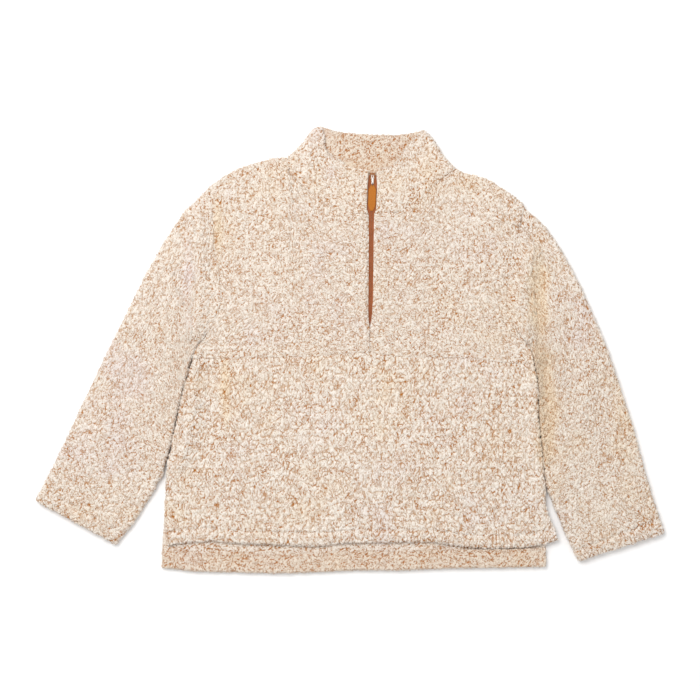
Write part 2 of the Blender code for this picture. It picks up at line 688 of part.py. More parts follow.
def as_mesh(thing, collection):
    """The object's curve made a closed mesh, in the same place."""
    bpy.context.view_layer.update()
    name = thing.name
    mesh = bpy.data.meshes.new_from_object(thing.evaluated_get(bpy.context.evaluated_depsgraph_get()))
    bm = bmesh.new()
    bm.from_mesh(mesh)
    bmesh.ops.remove_doubles(bm, verts=bm.verts, dist=0.00001)
    bmesh.ops.recalc_face_normals(bm, faces=bm.faces)
    bm.to_mesh(mesh)
    bm.free()
    matrix = thing.matrix_world.copy()
    bpy.data.objects.remove(thing)
    made = bpy.data.objects.new(name, mesh)
    made.matrix_world = matrix
    collection.objects.link(made)
    return made


def round_hole(x, y, radius, sides=12):
    return [(x + radius * math.cos(2 * math.pi * k / sides), y + radius * math.sin(2 * math.pi * k / sides))
            for k in range(sides)]


def slider(collection, cutters):
    """The zip's slider: two plates joined above the tapes' ends, and the bail that holds the link.

    Its side is drawn in a plane, as (along the zip, height), and stands up along X.
    """
    under = LINK_Z - 3.85
    lower_top = under + 0.6
    upper_low = LINK_Z - 1.75
    upper_top = LINK_Z - 0.9
    side_view = [(-6.5, under), (4.6, under), (4.6, upper_top), (-6.5, upper_top), (-6.5, upper_low),
                 (2.0, upper_low), (2.0, lower_top), (-6.5, lower_top)]
    plates = outline_solid("zip_slider", [side_view], 8.4, collection, "metal")
    bail_view = [(-2.4, upper_top - 0.2), (-1.6, upper_top - 0.2), (-1.6, LINK_Z + 0.9), (1.6, LINK_Z + 0.9),
                 (1.6, upper_top - 0.2), (2.4, upper_top - 0.2), (2.4, LINK_Z + 1.3), (2.0, LINK_Z + 1.7),
                 (-2.0, LINK_Z + 1.7), (-2.4, LINK_Z + 1.3)]
    bail = outline_solid("bail_shape", [bail_view], 1.4, cutters, "metal")
    for thing in (plates, bail):
        thing.location = (SLIDER_X * MM, SLIDER_Y * MM, 0)
        thing.rotation_euler = (math.radians(90), 0, math.radians(90))
    plates = as_mesh(plates, collection)
    bail = as_mesh(bail, cutters)
    bail.hide_render = True
    bail.display_type = "WIRE"
    plates.data.materials.clear()
    plates.data.materials.append(finish_material("zip_slider", "metal"))
    join = plates.modifiers.new("bail", "BOOLEAN")
    join.operation = "UNION"
    join.object = bail
    return plates


def pull_link(collection):
    """The metal link: a flat bar with an eye round the bail and a hole for the ring. Its origin is its axis."""
    eye_side, bar_side = 2.0, 1.65
    end = LINK_LENGTH - RING_RADIUS
    outline = [(-eye_side, 0.5), (-eye_side, -3.4), (-bar_side, -4.6), (-bar_side, -end - 0.7),
               (-0.9, -end - 1.5), (0.9, -end - 1.5), (bar_side, -end - 0.7), (bar_side, -4.6),
               (eye_side, -3.4), (eye_side, 0.5)]
    eye = [(-1.05, -0.5), (1.05, -0.5), (1.05, -3.3), (-1.05, -3.3)]
    link = outline_solid("pull_link", [outline], LINK_THICK, collection, "metal",
                         [eye, round_hole(0, -end, 0.75, 10)])
    link.location = (SLIDER_X * MM, SLIDER_Y * MM, LINK_Z * MM)
    link.rotation_euler = (-math.atan2(RING_Z - LINK_Z, LINK_LENGTH), 0, 0)
    return link


def pull_ring(collection):
    """The small ring that joins the link to the leather tab."""
    bpy.ops.mesh.primitive_torus_add(major_segments=20, minor_segments=8, major_radius=RING_RADIUS * MM,
                                     minor_radius=RING_WIRE * MM)
    ring = bpy.context.object
    ring.name = "pull_ring"
    for holder in list(ring.users_collection):
        holder.objects.unlink(ring)
    collection.objects.link(ring)
    ring.data.materials.append(finish_material("pull_ring", "metal"))
    ring.location = (SLIDER_X * MM, (SLIDER_Y - LINK_LENGTH) * MM, RING_Z * MM)
    ring.rotation_euler = (0, math.radians(90), 0)
    return ring


def pull_tab(collection):
    """The leather tab: a long hexagon with a punched hole. Its origin is the ring's axis."""
    top = -0.35
    outline = [(-2.1, top), (-6.1, -8.5), (-6.1, -TAB_LENGTH + 9), (-2.4, -TAB_LENGTH), (2.4, -TAB_LENGTH),
               (6.1, -TAB_LENGTH + 9), (6.1, -8.5), (2.1, top)]
    tab = outline_solid("pull_tab", [outline], TAB_THICK, collection, "leather",
                        [round_hole(0, -RING_RADIUS, 0.75, 10)])
    tab.location = (SLIDER_X * MM, (SLIDER_Y - LINK_LENGTH) * MM, RING_Z * MM)
    tab.rotation_euler = (math.atan2(TAB_DROP, TAB_LENGTH), 0, math.radians(-2.0))
    return tab


def main():
    clear_scene()
    garment = make_collection("sherpa_pullover")
    cutters = make_collection("helpers")
    back_panel(garment)
    back_hem(garment)
    lower_front(garment)
    upper_front("upper_front_left", -1, UNDERARM_LEFT, ARMHOLE_LEFT, SHOULDER_LEFT, NECK_LEFT, CROSS_LEFT, garment)
    upper_front("upper_front_right", 1, UNDERARM_RIGHT, ARMHOLE_RIGHT, SHOULDER_RIGHT, NECK_RIGHT, CROSS_RIGHT,
                garment)
    sleeve("sleeve_left", -1, ARMHOLE_LEFT, SLEEVE_LEFT, garment)
    sleeve("sleeve_right", 1, ARMHOLE_RIGHT, SLEEVE_RIGHT, garment)
    collar(garment)
    zip_tape("zip_tape_left", -1, garment)
    zip_tape("zip_tape_right", 1, garment)
    slider(garment, cutters)
    pull_link(garment)
    pull_ring(garment)
    pull_tab(garment)


main()
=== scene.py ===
"""Looks of the sherpa fleece quarter-zip pullover, laid flat on its back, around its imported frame.

Metres, +Z up. Tables and the cloth's own measures are in millimetres: x to the right, y towards the collar.
"""
import math

import bmesh
import bpy
import numpy as np
from mathutils import Matrix


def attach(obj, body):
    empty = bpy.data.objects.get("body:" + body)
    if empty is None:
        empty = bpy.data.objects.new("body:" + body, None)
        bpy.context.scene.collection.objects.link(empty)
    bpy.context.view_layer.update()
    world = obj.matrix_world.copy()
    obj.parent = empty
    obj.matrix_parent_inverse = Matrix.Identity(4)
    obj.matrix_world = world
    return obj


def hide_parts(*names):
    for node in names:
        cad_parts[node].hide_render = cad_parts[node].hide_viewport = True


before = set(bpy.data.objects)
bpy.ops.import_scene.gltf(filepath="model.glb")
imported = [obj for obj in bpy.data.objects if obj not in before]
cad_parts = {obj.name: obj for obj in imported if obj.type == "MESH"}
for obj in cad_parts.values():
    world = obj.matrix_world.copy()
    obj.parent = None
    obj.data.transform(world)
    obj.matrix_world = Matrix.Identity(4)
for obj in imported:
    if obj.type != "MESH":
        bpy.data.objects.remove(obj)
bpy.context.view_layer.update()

MM = 0.001
CLOTH = 7.0            # wall of the fleece: knit ground and curled pile
FRONT = 7.3            # height of the front's underside, on the back
SEAM = 0.5             # between two curved edges that meet at a seam
SEAM_LAP = 0.3         # how far the pile of a sleeve or the collar laps into its seam
SEAM_TOUCH = 0.05      # between the two edges of the shown cloth at a seam
CELL = 1.55            # step of the cloth's mesh where its pile shows
PILE = 3.0             # from the gaps between curls to their tips
LAYER_SLIT = 0.3       # half the space between a sleeve's or the collar's two layers
SLEEVE_MIDDLE = 7.15
SLEEVE_LAYER = 6.85
COLLAR_MIDDLE = 7.8
COLLAR_LAYER = 7.5
COLLAR_STAND = 75.0
HEM_BAND = 31.0
HEM_BAND_WALL = 5.0
HEM_BAND_INSET = 1.5    # the turned allowance stops this far inside the back's edges
COLLAR_ZIP_GAP = 0.8    # from the zip's slot to each end of the collar
TAPE_GAP = 0.2          # under the zip's tapes
TAPE_THICK = 0.8
TAPE_RISE = (232, 274)  # where the tapes rise from the body onto the collar
COIL_RUN = (40.0, 279.0)
COIL_PITCH = 1.27
COIL_WIRE = 0.42        # radius of the coil's wire
COIL_STAGGER = 0.5      # each second tooth stands this far to the other side

# Outlines. Sides run up from the front hem, armholes up from the underarm.
SIDE_LEFT = ((-299, -321), (-303, -294), (-304, -265), (-303, -232), (-302, -207), (-299, -182), (-292, -149),
             (-285, -116), (-277, -80), (-269, -47), (-259, -14))
SIDE_RIGHT = ((342, -312), (338, -298), (330, -281), (323, -260), (320, -223), (317, -179), (312, -143),
              (309, -103), (309, -67), (306, -40), (302, -24))
UNDERARM_LEFT = ((-259, -14), (-255, -3), (-252, 8))
UNDERARM_RIGHT = ((302, -24), (299, -10), (295, 4))
ARMHOLE_LEFT = ((-252, 8), (-236, 26), (-223, 49), (-214, 77), (-214, 107), (-218, 135), (-224, 164),
                (-225, 201), (-227, 230), (-234, 265))
ARMHOLE_RIGHT = ((295, 4), (284, 19), (272, 37), (262, 65), (260, 98), (263, 135), (271, 168), (277, 199),
                 (281, 218), (287, 235))
SHOULDER_LEFT = ((-234, 265), (-214, 280), (-186, 296), (-162, 305), (-132, 313), (-104, 316))
SHOULDER_RIGHT = ((175, 298), (190, 290), (223, 281), (254, 263), (275, 248), (287, 235))
NECK_LEFT = ((-104, 316), (-96, 290), (-78, 271), (-63, 257), (-41, 242), (-15, 230), (8, 225), (36, 225))
NECK_RIGHT = ((36, 225), (63, 226), (79, 228), (96, 237), (116, 248), (137, 270), (155, 286), (175, 298))
NECK_BACK = ((-104, 316), (-66, 293), (0, 280), (74, 280), (132, 285), (175, 298))
CROSS_LEFT = ((-259, -14), (-206, -14), (-165, -12), (-76, -11), (-8, -6), (33, -5))
CROSS_RIGHT = ((33, -5), (82, -11), (148, -12), (198, -14), (248, -20), (302, -24))
HEM_FRONT_LEFT = ((-299, -321), (-264, -316), (-224, -314), (-183, -318), (-92, -321), (-54, -322),
                  (-15, -318), (33, -316))
HEM_FRONT_RIGHT = ((33, -316), (82, -316), (145, -317), (193, -324), (241, -326), (287, -324), (325, -318),
                   (342, -312))
HEM_BACK = ((-310, -359), (-251, -365), (-198, -366), (-120, -368), (-54, -366), (12, -363), (82, -363),
            (162, -360), (241, -359), (323, -357))
VENT_LEFT = ((-310, -359), (-309, -327), (-306, -289), (-304, -265))
VENT_RIGHT = ((323, -357), (322, -327), (321, -289), (323, -260))
COLLAR_FOLD_LEFT = ((-104, 316), (-94, 324), (-78, 341), (-63, 360), (-48, 368))
COLLAR_FOLD_RIGHT = ((175, 298), (165, 306), (153, 321), (138, 345), (122, 362))
COLLAR_TOP_LEFT = ((-48, 368), (-43, 354), (-40, 329), (-26, 318), (-10, 306), (10, 297), (37, 295))
COLLAR_TOP_RIGHT = ((37, 297), (66, 301), (77, 309), (91, 328), (106, 347), (122, 362))
COLLAR_TOP_BACK = ((-48, 368), (-21, 359), (10, 356), (43, 354), (74, 354), (99, 356), (122, 362))

# Sleeve rings from the armhole to the cuff: outer x, y, inner x, y, and how far the line bows to the body.
SLEEVE_LEFT = ((-271, 229, -261, -17, 19), (-304, 181, -268.5, -41, 12), (-338, 120, -275.5, -67, 7),
               (-373, 49, -283, -100, 3), (-406, -17, -290.5, -134, 0), (-437, -83, -299, -173, 0),
               (-458, -128, -309, -206, 0), (-476, -166, -332, -247, 0), (-496, -207, -358, -286, 0),
               (-517.5, -248, -385, -320, 0))
SLEEVE_RIGHT = ((322, 202, 304, -22, 17), (351, 159, 308.5, -44, 10), (380, 103, 310.5, -74, 5),
                (404, 49, 310.5, -106, 2), (426, -6, 314, -145, 0), (444, -60, 318.5, -182, 0),
                (464, -123, 322.5, -223, 0), (480, -179, 336, -258, 0), (498, -243, 355, -304, 0),
                (517.5, -301, 376, -347, 0))

# The slot where the zip shows, from the hem up: y, middle x, half width.
ZIP_SLOT = ((-330, 33, 0.25), (36, 32.5, 0.3), (50, 32.8, 2.2), (82, 34, 3.3), (181, 35, 3.5),
            (224, 35.2, 4.0), (232, 35.4, 6.8), (272, 36.8, 6.8), (284, 37, 5.6), (300, 37, 5.2))

# Folds: from x, y to x, y, height and width. Ridges are above the cloth, troughs below.
FRONT_FOLDS = ((-252, -4, -262, -118, 6, 10), (-262, -118, -280, -190, 6, 10), (-223, -32, -229, -112, -3, 14),
               (-229, -112, -240, -184, -3, 14), (-177, -40, -172, -95, 3, 11), (303, -10, 303, -90, 5, 12),
               (303, -90, 306, -170, 5, 12), (306, -170, 314, -240, 4, 11), (231, 239, 272, 214, 4, 20),
               (-210, 215, -205, 70, -2, 18))
SLEEVE_FOLDS = ((-249, 222, -246, 120, 8, 15), (-246, 120, -254, 30, 8, 15), (-259, -2, -274, -86, 7, 11),
                (-274, -86, -296, -165, 6, 11), (284, 215, 300, 196, -3, 10), (300, 196, 342, 125, -4, 13),
                (296, 160, 278, 74, 7, 14), (278, 74, 290, 20, 6, 13), (314, 135, 312, 30, -4.5, 14),
                (318, -30, 332, -190, -5, 12), (-268, 200, -266, 62, -3.5, 15), (-320, 60, -352, -60, -2, 16),
                (400, -20, 380, -120, 2.5, 18), (-400, -100, -430, -180, 2.5, 16))
COLLAR_FOLDS = ((-75, 320, -62, 268, 3, 12), (90, 270, 150, 300, 2, 22))

# A turned and stitched hem: distance from its edge, and how much the cloth rises.
HEM_TURN = ((0, -0.5), (5, 1.2), (14, 1.8), (21, -1.8), (26, 0.4), (32, 0))
STITCH_LINE = 21.0

# Places where the ground shows more between the curls: x, y, reach, strength.
BARE_SPOTS = ((-238, -17, 9, 0.8), (-208, -28, 10, 0.6), (-192, -28, 8, 0.6), (-175, -8, 7, 0.7),
              (276, -22, 8, 0.8), (-226, 242, 7, 0.9), (276, 234, 5, 0.9), (277, 210, 5, 0.8),
              (278, 199, 5, 0.7), (295, 222, 5, 0.8), (295, 206, 5, 0.8), (394, -326, 12, 0.8),
              (482, -288, 13, 0.5), (-46, 318, 9, 0.6), (127, 272, 16, 0.8), (108, 258, 14, 0.7),
              (150, 290, 14, 0.5), (-12, 224, 16, 0.5), (-217, -27, 14, 0.5), (20, -20, 18, 0.3),
              (-52, 312, 26, 0.32), (-30, 248, 18, 0.35), (62, 246, 16, 0.3),
              (-60, -16, 12, 0.4), (60, -18, 12, 0.4), (230, 120, 20, 0.25))

# Tints of light and shade painted on the folds: x, y, reach along x and y, warmth (below 0 cooler).
FOLD_LIGHT_AND_SHADE_TINTS = ((311, 85, 15, 75, 1.6), (322, -105, 17, 95, 1.6), (-266, 130, 12, 80, -0.9),
         (-218, 200, 9, 60, 1.0), (-205, -65, 8, 75, 0.8), (-30, 290, 14, 14, -0.9),
         (445, -120, 60, 120, 0.5), (-400, -60, 70, 130, -0.4))

EDGE_ROUND = 3.5
ROUND_STEPS = tuple(EDGE_ROUND * (1 - math.cos(math.radians(turn))) for turn in (0, 22, 45, 67, 90))
SEAM_STEPS = (0.0, 0.7)


# ---------------------------------------------------------------- lines in plan

def smooth_line(points, steps=8):
    """A smooth line through the points of a table."""
    points = np.array([points[0], *points, points[-1]], float)
    t = (np.arange(steps) / steps)[:, None]
    parts = []
    for a, b, c, d in zip(points, points[1:], points[2:], points[3:]):
        parts.append(0.5 * (2 * b + (c - a) * t + (2 * a - 5 * b + 4 * c - d) * t ** 2
                            + (3 * b - a - 3 * c + d) * t ** 3))
    return np.vstack(parts + [points[-1:]])


def distances_along(line):
    return np.concatenate([[0.0], np.cumsum(np.hypot(*np.diff(line, axis=0).T))])


def length_of(line):
    return distances_along(line)[-1]


def at_fractions(line, fractions):
    along = distances_along(line)
    goal = np.asarray(fractions) * along[-1]
    return np.column_stack([np.interp(goal, along, line[:, axis]) for axis in (0, 1)])


def shifted(line, distance):
    """The line moved sideways, to the left of its direction for a positive distance."""
    step = np.gradient(line, axis=0)
    step /= np.maximum(np.hypot(step[:, 0], step[:, 1]), 1e-9)[:, None]
    return line + np.column_stack([-step[:, 1], step[:, 0]]) * distance


def spaced(length, cell, start=(0.0,), end=(0.0,)):
    """Fractions of a length: the given steps in from its two ends, and even ones between."""
    low, high = max(start), length - max(end)
    even = np.linspace(low, high, max(int(round((high - low) / cell)), 1) + 1)
    near = [step for step in start if step < low]
    far = [length - step for step in sorted(end, reverse=True) if step < max(end)]
    return np.concatenate([near, even, far]) / length


def patch(left, right, bottom, top):
    """A grid of points between four edge lines that share their corners."""
    rows = distances_along(left) / length_of(left)
    columns = distances_along(bottom) / length_of(bottom)
    v = rows[:, None, None]
    u = columns[None, :, None]
    corners = ((1 - u) * (1 - v) * bottom[0] + u * (1 - v) * bottom[-1]
               + (1 - u) * v * top[0] + u * v * top[-1])
    return ((1 - u) * left[:, None] + u * right[:, None] + (1 - v) * bottom[None] + v * top[None]) - corners


def patch_between(left, right, bottom, top, rows, columns):
    """A patch inside four lines, with its rows and columns at these fractions of them."""
    return patch(at_fractions(left, rows), at_fractions(right, rows),
                 at_fractions(bottom, columns), at_fractions(top, columns))


def slot_at(y):
    """Middle and half width of the zip's slot at these heights."""
    heights, middles, halves = np.array(ZIP_SLOT).T
    return np.interp(y, heights, middles), np.interp(y, heights, halves)


# ---------------------------------------------------------------- the cloth's surface

def scattered(i, j, seed):
    """A repeatable scattered number from 0 to 1 for each place of a lattice."""
    n = (i * 374761393 + j * 668265263 + seed * 1442695041) & 0xFFFFFFFF
    n = ((n ^ (n >> 13)) * 1274126177) & 0xFFFFFFFF
    return ((n ^ (n >> 16)) & 0xFFFFFFFF) / 0xFFFFFFFF


def waves(s, t, size, seed):
    """Smooth noise of about -1 to 1 over the flat cloth, with a lattice of this size."""
    s, t = s / size, t / size
    i, j = np.floor(s).astype(np.int64), np.floor(t).astype(np.int64)
    u, v = s - i, t - j
    ease_u, ease_v = (w * w * w * (w * (w * 6 - 15) + 10) for w in (u, v))
    total = 0.0
    for di in (0, 1):
        for dj in (0, 1):
            angle = scattered(i + di, j + dj, seed) * 2 * math.pi
            slope = np.cos(angle) * (u - di) + np.sin(angle) * (v - dj)
            total = total + slope * (ease_u if di else 1 - ease_u) * (ease_v if dj else 1 - ease_v)
    return total * 1.6


def eased(value, low, high):
    t = np.clip((value - low) / (high - low), 0, 1)
    return t * t * (3 - 2 * t)


def curls(s, t, seed, lie):
    """The curled pile, 0 in the gaps between curls and 1 on their tips. lie draws curls out along t."""
    across = s + 2.4 * waves(s, t, 12, seed)
    along = (t + 2.4 * waves(s, t, 12, seed + 1)) / lie
    first = np.abs(waves(across, along, 7.2, seed + 2)) / 0.26
    second = np.abs(waves(across, along, 5.2, seed + 3)) / 0.20
    return np.clip(np.minimum(first, second), 0, 1) ** 0.8


def bareness(s, t, seed):
    """How far the darker ground shows in the gaps between curls, 0 to 1, in patches."""
    patchy = waves(s, t, 34, seed + 5) * 0.5 + waves(s, t, 90, seed + 6) * 0.4
    fleck = eased(waves(s, t, 7, seed + 7) + 0.5 * patchy, 0.18, 0.75)
    return np.clip(0.60 + 0.28 * patchy + 0.85 * fleck, 0.15, 1.3)


def fold_height(folds, x, y):
    """Rise of the cloth: the largest ridge at each place, plus the deepest trough."""
    ridge, trough = np.zeros_like(x), np.zeros_like(x)
    for x0, y0, x1, y1, height, width in folds:
        dx, dy = x1 - x0, y1 - y0
        near = np.clip(((x - x0) * dx + (y - y0) * dy) / (dx * dx + dy * dy), 0, 1)
        apart = (x - x0 - near * dx) ** 2 + (y - y0 - near * dy) ** 2
        rise = height * np.exp(-apart / width ** 2)
        ridge, trough = np.maximum(ridge, rise), np.minimum(trough, rise)
    return ridge + trough


def spots(x, y):
    total = np.zeros_like(x)
    for cx, cy, reach, strength in BARE_SPOTS:
        total = np.maximum(total, strength * np.exp(-((x - cx) ** 2 + (y - cy) ** 2) / reach ** 2))
    return total


def rounding(distance, reach):
    """How full the cloth is near a rounded edge: 0 at the edge, 1 from reach inwards."""
    return np.sqrt(np.clip(1 - (1 - np.clip(distance / reach, 0, 1)) ** 2, 0, 1))


def stitched(distance, place, width):
    return np.exp(-((distance - place) / width) ** 2)


def surface_normals(places, flip):
    along, across = np.gradient(places, axis=0), np.gradient(places, axis=1)
    normal = np.cross(across, along) * flip
    return normal / np.maximum(np.linalg.norm(normal, axis=2, keepdims=True), 1e-9)


def with_pile(places, flat, seed, lie, weight, flip=1, level=None):
    """The surface with its curls raised, and the curls themselves. weight is 0 where nothing shows."""
    curl = curls(flat[..., 0], flat[..., 1], seed, lie)
    tuft = waves(flat[..., 0], flat[..., 1], 3.2, seed + 9)
    clump = waves(flat[..., 0], flat[..., 1], 19, seed + 8)
    rise = PILE * (curl - 0.45) + 0.5 * tuft * curl + 0.6 * clump
    normal = surface_normals(places, flip)
    if level is not None:
        normal[..., :2] *= level[..., None]
    return places + normal * (rise * weight)[..., None], curl


# ---------------------------------------------------------------- meshes of cloth

def cloth_object(name, verts, faces, marks, material, rim):
    """An object in metres from places in millimetres, with named marks on its points.

    rim lists the points of the cloth's cut edge, where it turns down sharply.
    """
    mesh = bpy.data.meshes.new(name)
    places = np.array(verts, float) * MM
    places[:, 2] = np.maximum(places[:, 2], 0)
    mesh.from_pydata(places.tolist(), [], faces)
    for mark, values in marks.items():
        layer = mesh.attributes.new(mark, "FLOAT", "POINT")
        layer.data.foreach_set("value", np.asarray(values, np.float32).ravel())
    mesh.shade_smooth()
    at_rim = np.zeros(len(verts), bool)
    at_rim[rim] = True
    ends = np.empty(2 * len(mesh.edges), np.int64)
    mesh.edges.foreach_get("vertices", ends)
    sharp = at_rim[ends.reshape(-1, 2)].all(axis=1)
    mesh.attributes.new("sharp_edge", "BOOLEAN", "EDGE").data.foreach_set("value", sharp)
    mesh.materials.append(material)
    thing = bpy.data.objects.new(name, mesh)
    bpy.context.scene.collection.objects.link(thing)
    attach(thing, "garment")
    return thing


def grid_faces(index, flip=False):
    a, b, c, d = index[:-1, :-1], index[:-1, 1:], index[1:, 1:], index[1:, :-1]
    order = (a, d, c, b) if flip else (a, b, c, d)
    return np.stack([part.ravel() for part in order], axis=1).tolist()


def panel_object(name, places, floor, marks, material):
    """A closed panel: its shown surface, a wall down to its underside, and the flat underside."""
    rows, columns = places.shape[:2]
    index = np.arange(rows * columns).reshape(rows, columns)
    rim = np.concatenate([index[0, :-1], index[:-1, -1], index[-1, :0:-1], index[:0:-1, 0]])
    flat = places.reshape(-1, 3)
    i, j = rim // columns, rim % columns
    inner = flat[index[np.clip(i, 2, rows - 3), np.clip(j, 2, columns - 3)]]
    inward = (inner - flat[rim])[:, :2]
    inward /= np.maximum(np.linalg.norm(inward, axis=1, keepdims=True), 1e-9)
    verts = [flat]
    rings = [rim]
    count = len(flat)
    for inset, height in ((0.25, floor + 1.3), (1.6, floor)):
        ring = flat[rim].copy()
        ring[:, :2] += inward * inset
        ring[:, 2] = np.minimum(height, ring[:, 2] - 0.05)
        verts.append(ring)
        rings.append(np.arange(count, count + len(rim)))
        count += len(rim)
    faces = grid_faces(index)
    for upper, lower in zip(rings, rings[1:]):
        around = np.stack([upper, lower, np.roll(lower, -1), np.roll(upper, -1)], axis=1)
        faces += around.tolist()
    faces.append(rings[-1][::-1].tolist())
    every = {mark: np.concatenate([values.ravel()] + [values.ravel()[rim]] * 2)
             for mark, values in marks.items()}
    return cloth_object(name, np.vstack(verts), faces, every, material, rim)


def band_object(name, places, marks, material, tube):
    """A closed band from a grid whose rows go round its outer side, over its edge and back inside."""
    rows, columns = places.shape[:2]
    index = np.arange(rows * columns).reshape(rows, columns)
    looped = np.vstack([index, index[:1]])
    if tube:
        looped = np.hstack([looped, looped[:, :1]])
    faces = grid_faces(looped)
    if not tube:
        half = rows // 2
        for column, turned in ((0, False), (columns - 1, True)):
            for k in range(half):
                near, far = index[k, column], index[k + 1, column]
                other, behind = index[rows - 2 - k, column], index[rows - 1 - k, column]
                face = [near, far, other, behind] if far != other else [near, far, behind]
                faces.append([int(v) for v in (face if turned else face[::-1])])
    flat = places.reshape(-1, 3)
    if signed_volume(flat, faces) < 0:
        faces = [face[::-1] for face in faces]
    rim = np.concatenate([index[0], index[-1]] + ([] if tube else [index[:, 0], index[:, -1]]))
    every = {mark: values.ravel() for mark, values in marks.items()}
    return cloth_object(name, flat, faces, every, material, rim)


def signed_volume(verts, faces):
    quads = np.array([face for face in faces if len(face) == 4])
    a, b, c, d = (verts[quads[:, k]] for k in range(4))
    return float((a * np.cross(b, c)).sum() + (a * np.cross(c, d)).sum())


def edge_distances(grid):
    """Each place's distance from the panel's four edges, along the grid's own lines."""
    down = np.linalg.norm(np.diff(grid, axis=0), axis=2)
    over = np.linalg.norm(np.diff(grid, axis=1), axis=2)
    bottom = np.vstack([np.zeros((1, grid.shape[1])), np.cumsum(down, axis=0)])
    left = np.hstack([np.zeros((grid.shape[0], 1)), np.cumsum(over, axis=1)])
    return {"bottom": bottom, "top": bottom[-1:] - bottom, "left": left, "right": left[:, -1:] - left}


# ---------------------------------------------------------------- materials

def new_material(name):
    material = bpy.data.materials.new(name)
    material.use_nodes = True
    return material, material.node_tree.nodes, material.node_tree.links


def add_node(nodes, kind, **settings):
    node = nodes.new(kind)
    for name, value in settings.items():
        setattr(node, name, value)
    return node


def blended(nodes, links, factor, first, second, kind="MIX"):
    """A colour mixed from two others, each a colour or a node's output."""
    mix = add_node(nodes, "ShaderNodeMix", data_type="RGBA", blend_type=kind)
    for socket, value in ((mix.inputs["Factor"], factor), (mix.inputs["A"], first), (mix.inputs["B"], second)):
        feed(links, socket, value)
    return mix.outputs["Result"]


def feed(links, socket, value):
    if isinstance(value, bpy.types.NodeSocket):
        links.new(value, socket)
    else:
        socket.default_value = value


def calculated(nodes, links, operation, first, second=0.0, third=0.0, clamp=False):
    node = add_node(nodes, "ShaderNodeMath", operation=operation, use_clamp=clamp)
    for socket, value in zip(node.inputs, (first, second, third)):
        feed(links, socket, value)
    return node.outputs[0]


def ranged(nodes, links, value, low, high, to_low=0.0, to_high=1.0):
    node = add_node(nodes, "ShaderNodeMapRange", interpolation_type="SMOOTHSTEP")
    for socket, given in zip(node.inputs, (value, low, high, to_low, to_high)):
        feed(links, socket, given)
    return node.outputs[0]


def noise_value(nodes, links, place, scale, detail=2.0, roughness=0.5):
    node = add_node(nodes, "ShaderNodeTexNoise")
    node.inputs["Scale"].default_value = scale
    node.inputs["Detail"].default_value = detail
    node.inputs["Roughness"].default_value = roughness
    links.new(place, node.inputs["Vector"])
    return node.outputs["Fac"]


def fleece_material(name, tip, body, ground, cool, warm, lie=1.0):
    """Sherpa fleece: pale curl tips, darker curl sides with painted crevice shade, and the rust ground between
    the curls.

    lie draws the finest curls out along Y, as the nap does.
    """
    material, nodes, links = new_material(name)
    shader = nodes["Principled BSDF"]
    place = add_node(nodes, "ShaderNodeTexCoord").outputs["Object"]
    marks = {}
    for mark in ("curl", "bare", "tone_and_shade_tint"):
        node = add_node(nodes, "ShaderNodeAttribute", attribute_name=mark)
        marks[mark] = node.outputs["Fac"]
    nap = add_node(nodes, "ShaderNodeMapping")
    nap.inputs["Scale"].default_value = (1, 1 / lie, 1)
    links.new(place, nap.inputs["Vector"])
    nap = nap.outputs["Vector"]
    fine = noise_value(nodes, links, nap, 560, 2.0, 0.6)
    strand = noise_value(nodes, links, nap, 250, 2.0, 0.6)
    line = calculated(nodes, links, "ABSOLUTE", calculated(nodes, links, "SUBTRACT", strand, 0.5))
    squiggle = ranged(nodes, links, line, 0.008, 0.040, 1.0, 0.0)
    broken = ranged(nodes, links, noise_value(nodes, links, nap, 170, 1.0), 0.46, 0.62)
    depth = ranged(nodes, links, marks["curl"], 0.06, 0.62, 1.0, 0.0)
    rusty = calculated(nodes, links, "MULTIPLY", depth, marks["bare"], clamp=True)
    strands = calculated(nodes, links, "MULTIPLY", calculated(nodes, links, "MULTIPLY", squiggle, broken),
                         calculated(nodes, links, "MULTIPLY_ADD", marks["bare"], 0.95, 0.5))
    shown = calculated(nodes, links, "MAXIMUM", rusty, strands, clamp=True)
    shown = calculated(nodes, links, "MULTIPLY", shown, ranged(nodes, links, fine, 0.30, 0.58, 0.35, 1.35),
                       clamp=True)
    # Painted crevice shade: the colour falls from the tips to the darker side colour as the curls sink into
    # their gaps.
    tip_over_crevice_shade = calculated(nodes, links, "MULTIPLY", ranged(nodes, links, marks["curl"], 0.05, 0.8, 0.35, 1.0),
                        ranged(nodes, links, fine, 0.32, 0.62, 0.35, 1.0))
    curl = blended(nodes, links, tip_over_crevice_shade, body, tip)
    # Warm and cool tints: random tone, plus painted tints of light and shade on the folds.
    warmth = ranged(nodes, links, marks["tone_and_shade_tint"], 0.0, 1.2, 0.0, 0.85)
    toned = blended(nodes, links, warmth, curl, warm, "MULTIPLY")
    coolness = ranged(nodes, links, marks["tone_and_shade_tint"], -1.2, 0.0, 0.85, 0.0)
    toned = blended(nodes, links, coolness, toned, cool, "MULTIPLY")
    links.new(blended(nodes, links, shown, toned, ground), shader.inputs["Base Color"])
    shader.inputs["Roughness"].default_value = 0.95
    shader.inputs["Specular IOR Level"].default_value = 0.2
    shader.inputs["Sheen Weight"].default_value = 0.25
    shader.inputs["Sheen Roughness"].default_value = 0.6
    bump = add_node(nodes, "ShaderNodeBump")
    bump.inputs["Strength"].default_value = 0.5
    bump.inputs["Distance"].default_value = 0.0006
    links.new(fine, bump.inputs["Height"])
    links.new(bump.outputs["Normal"], shader.inputs["Normal"])
    return material


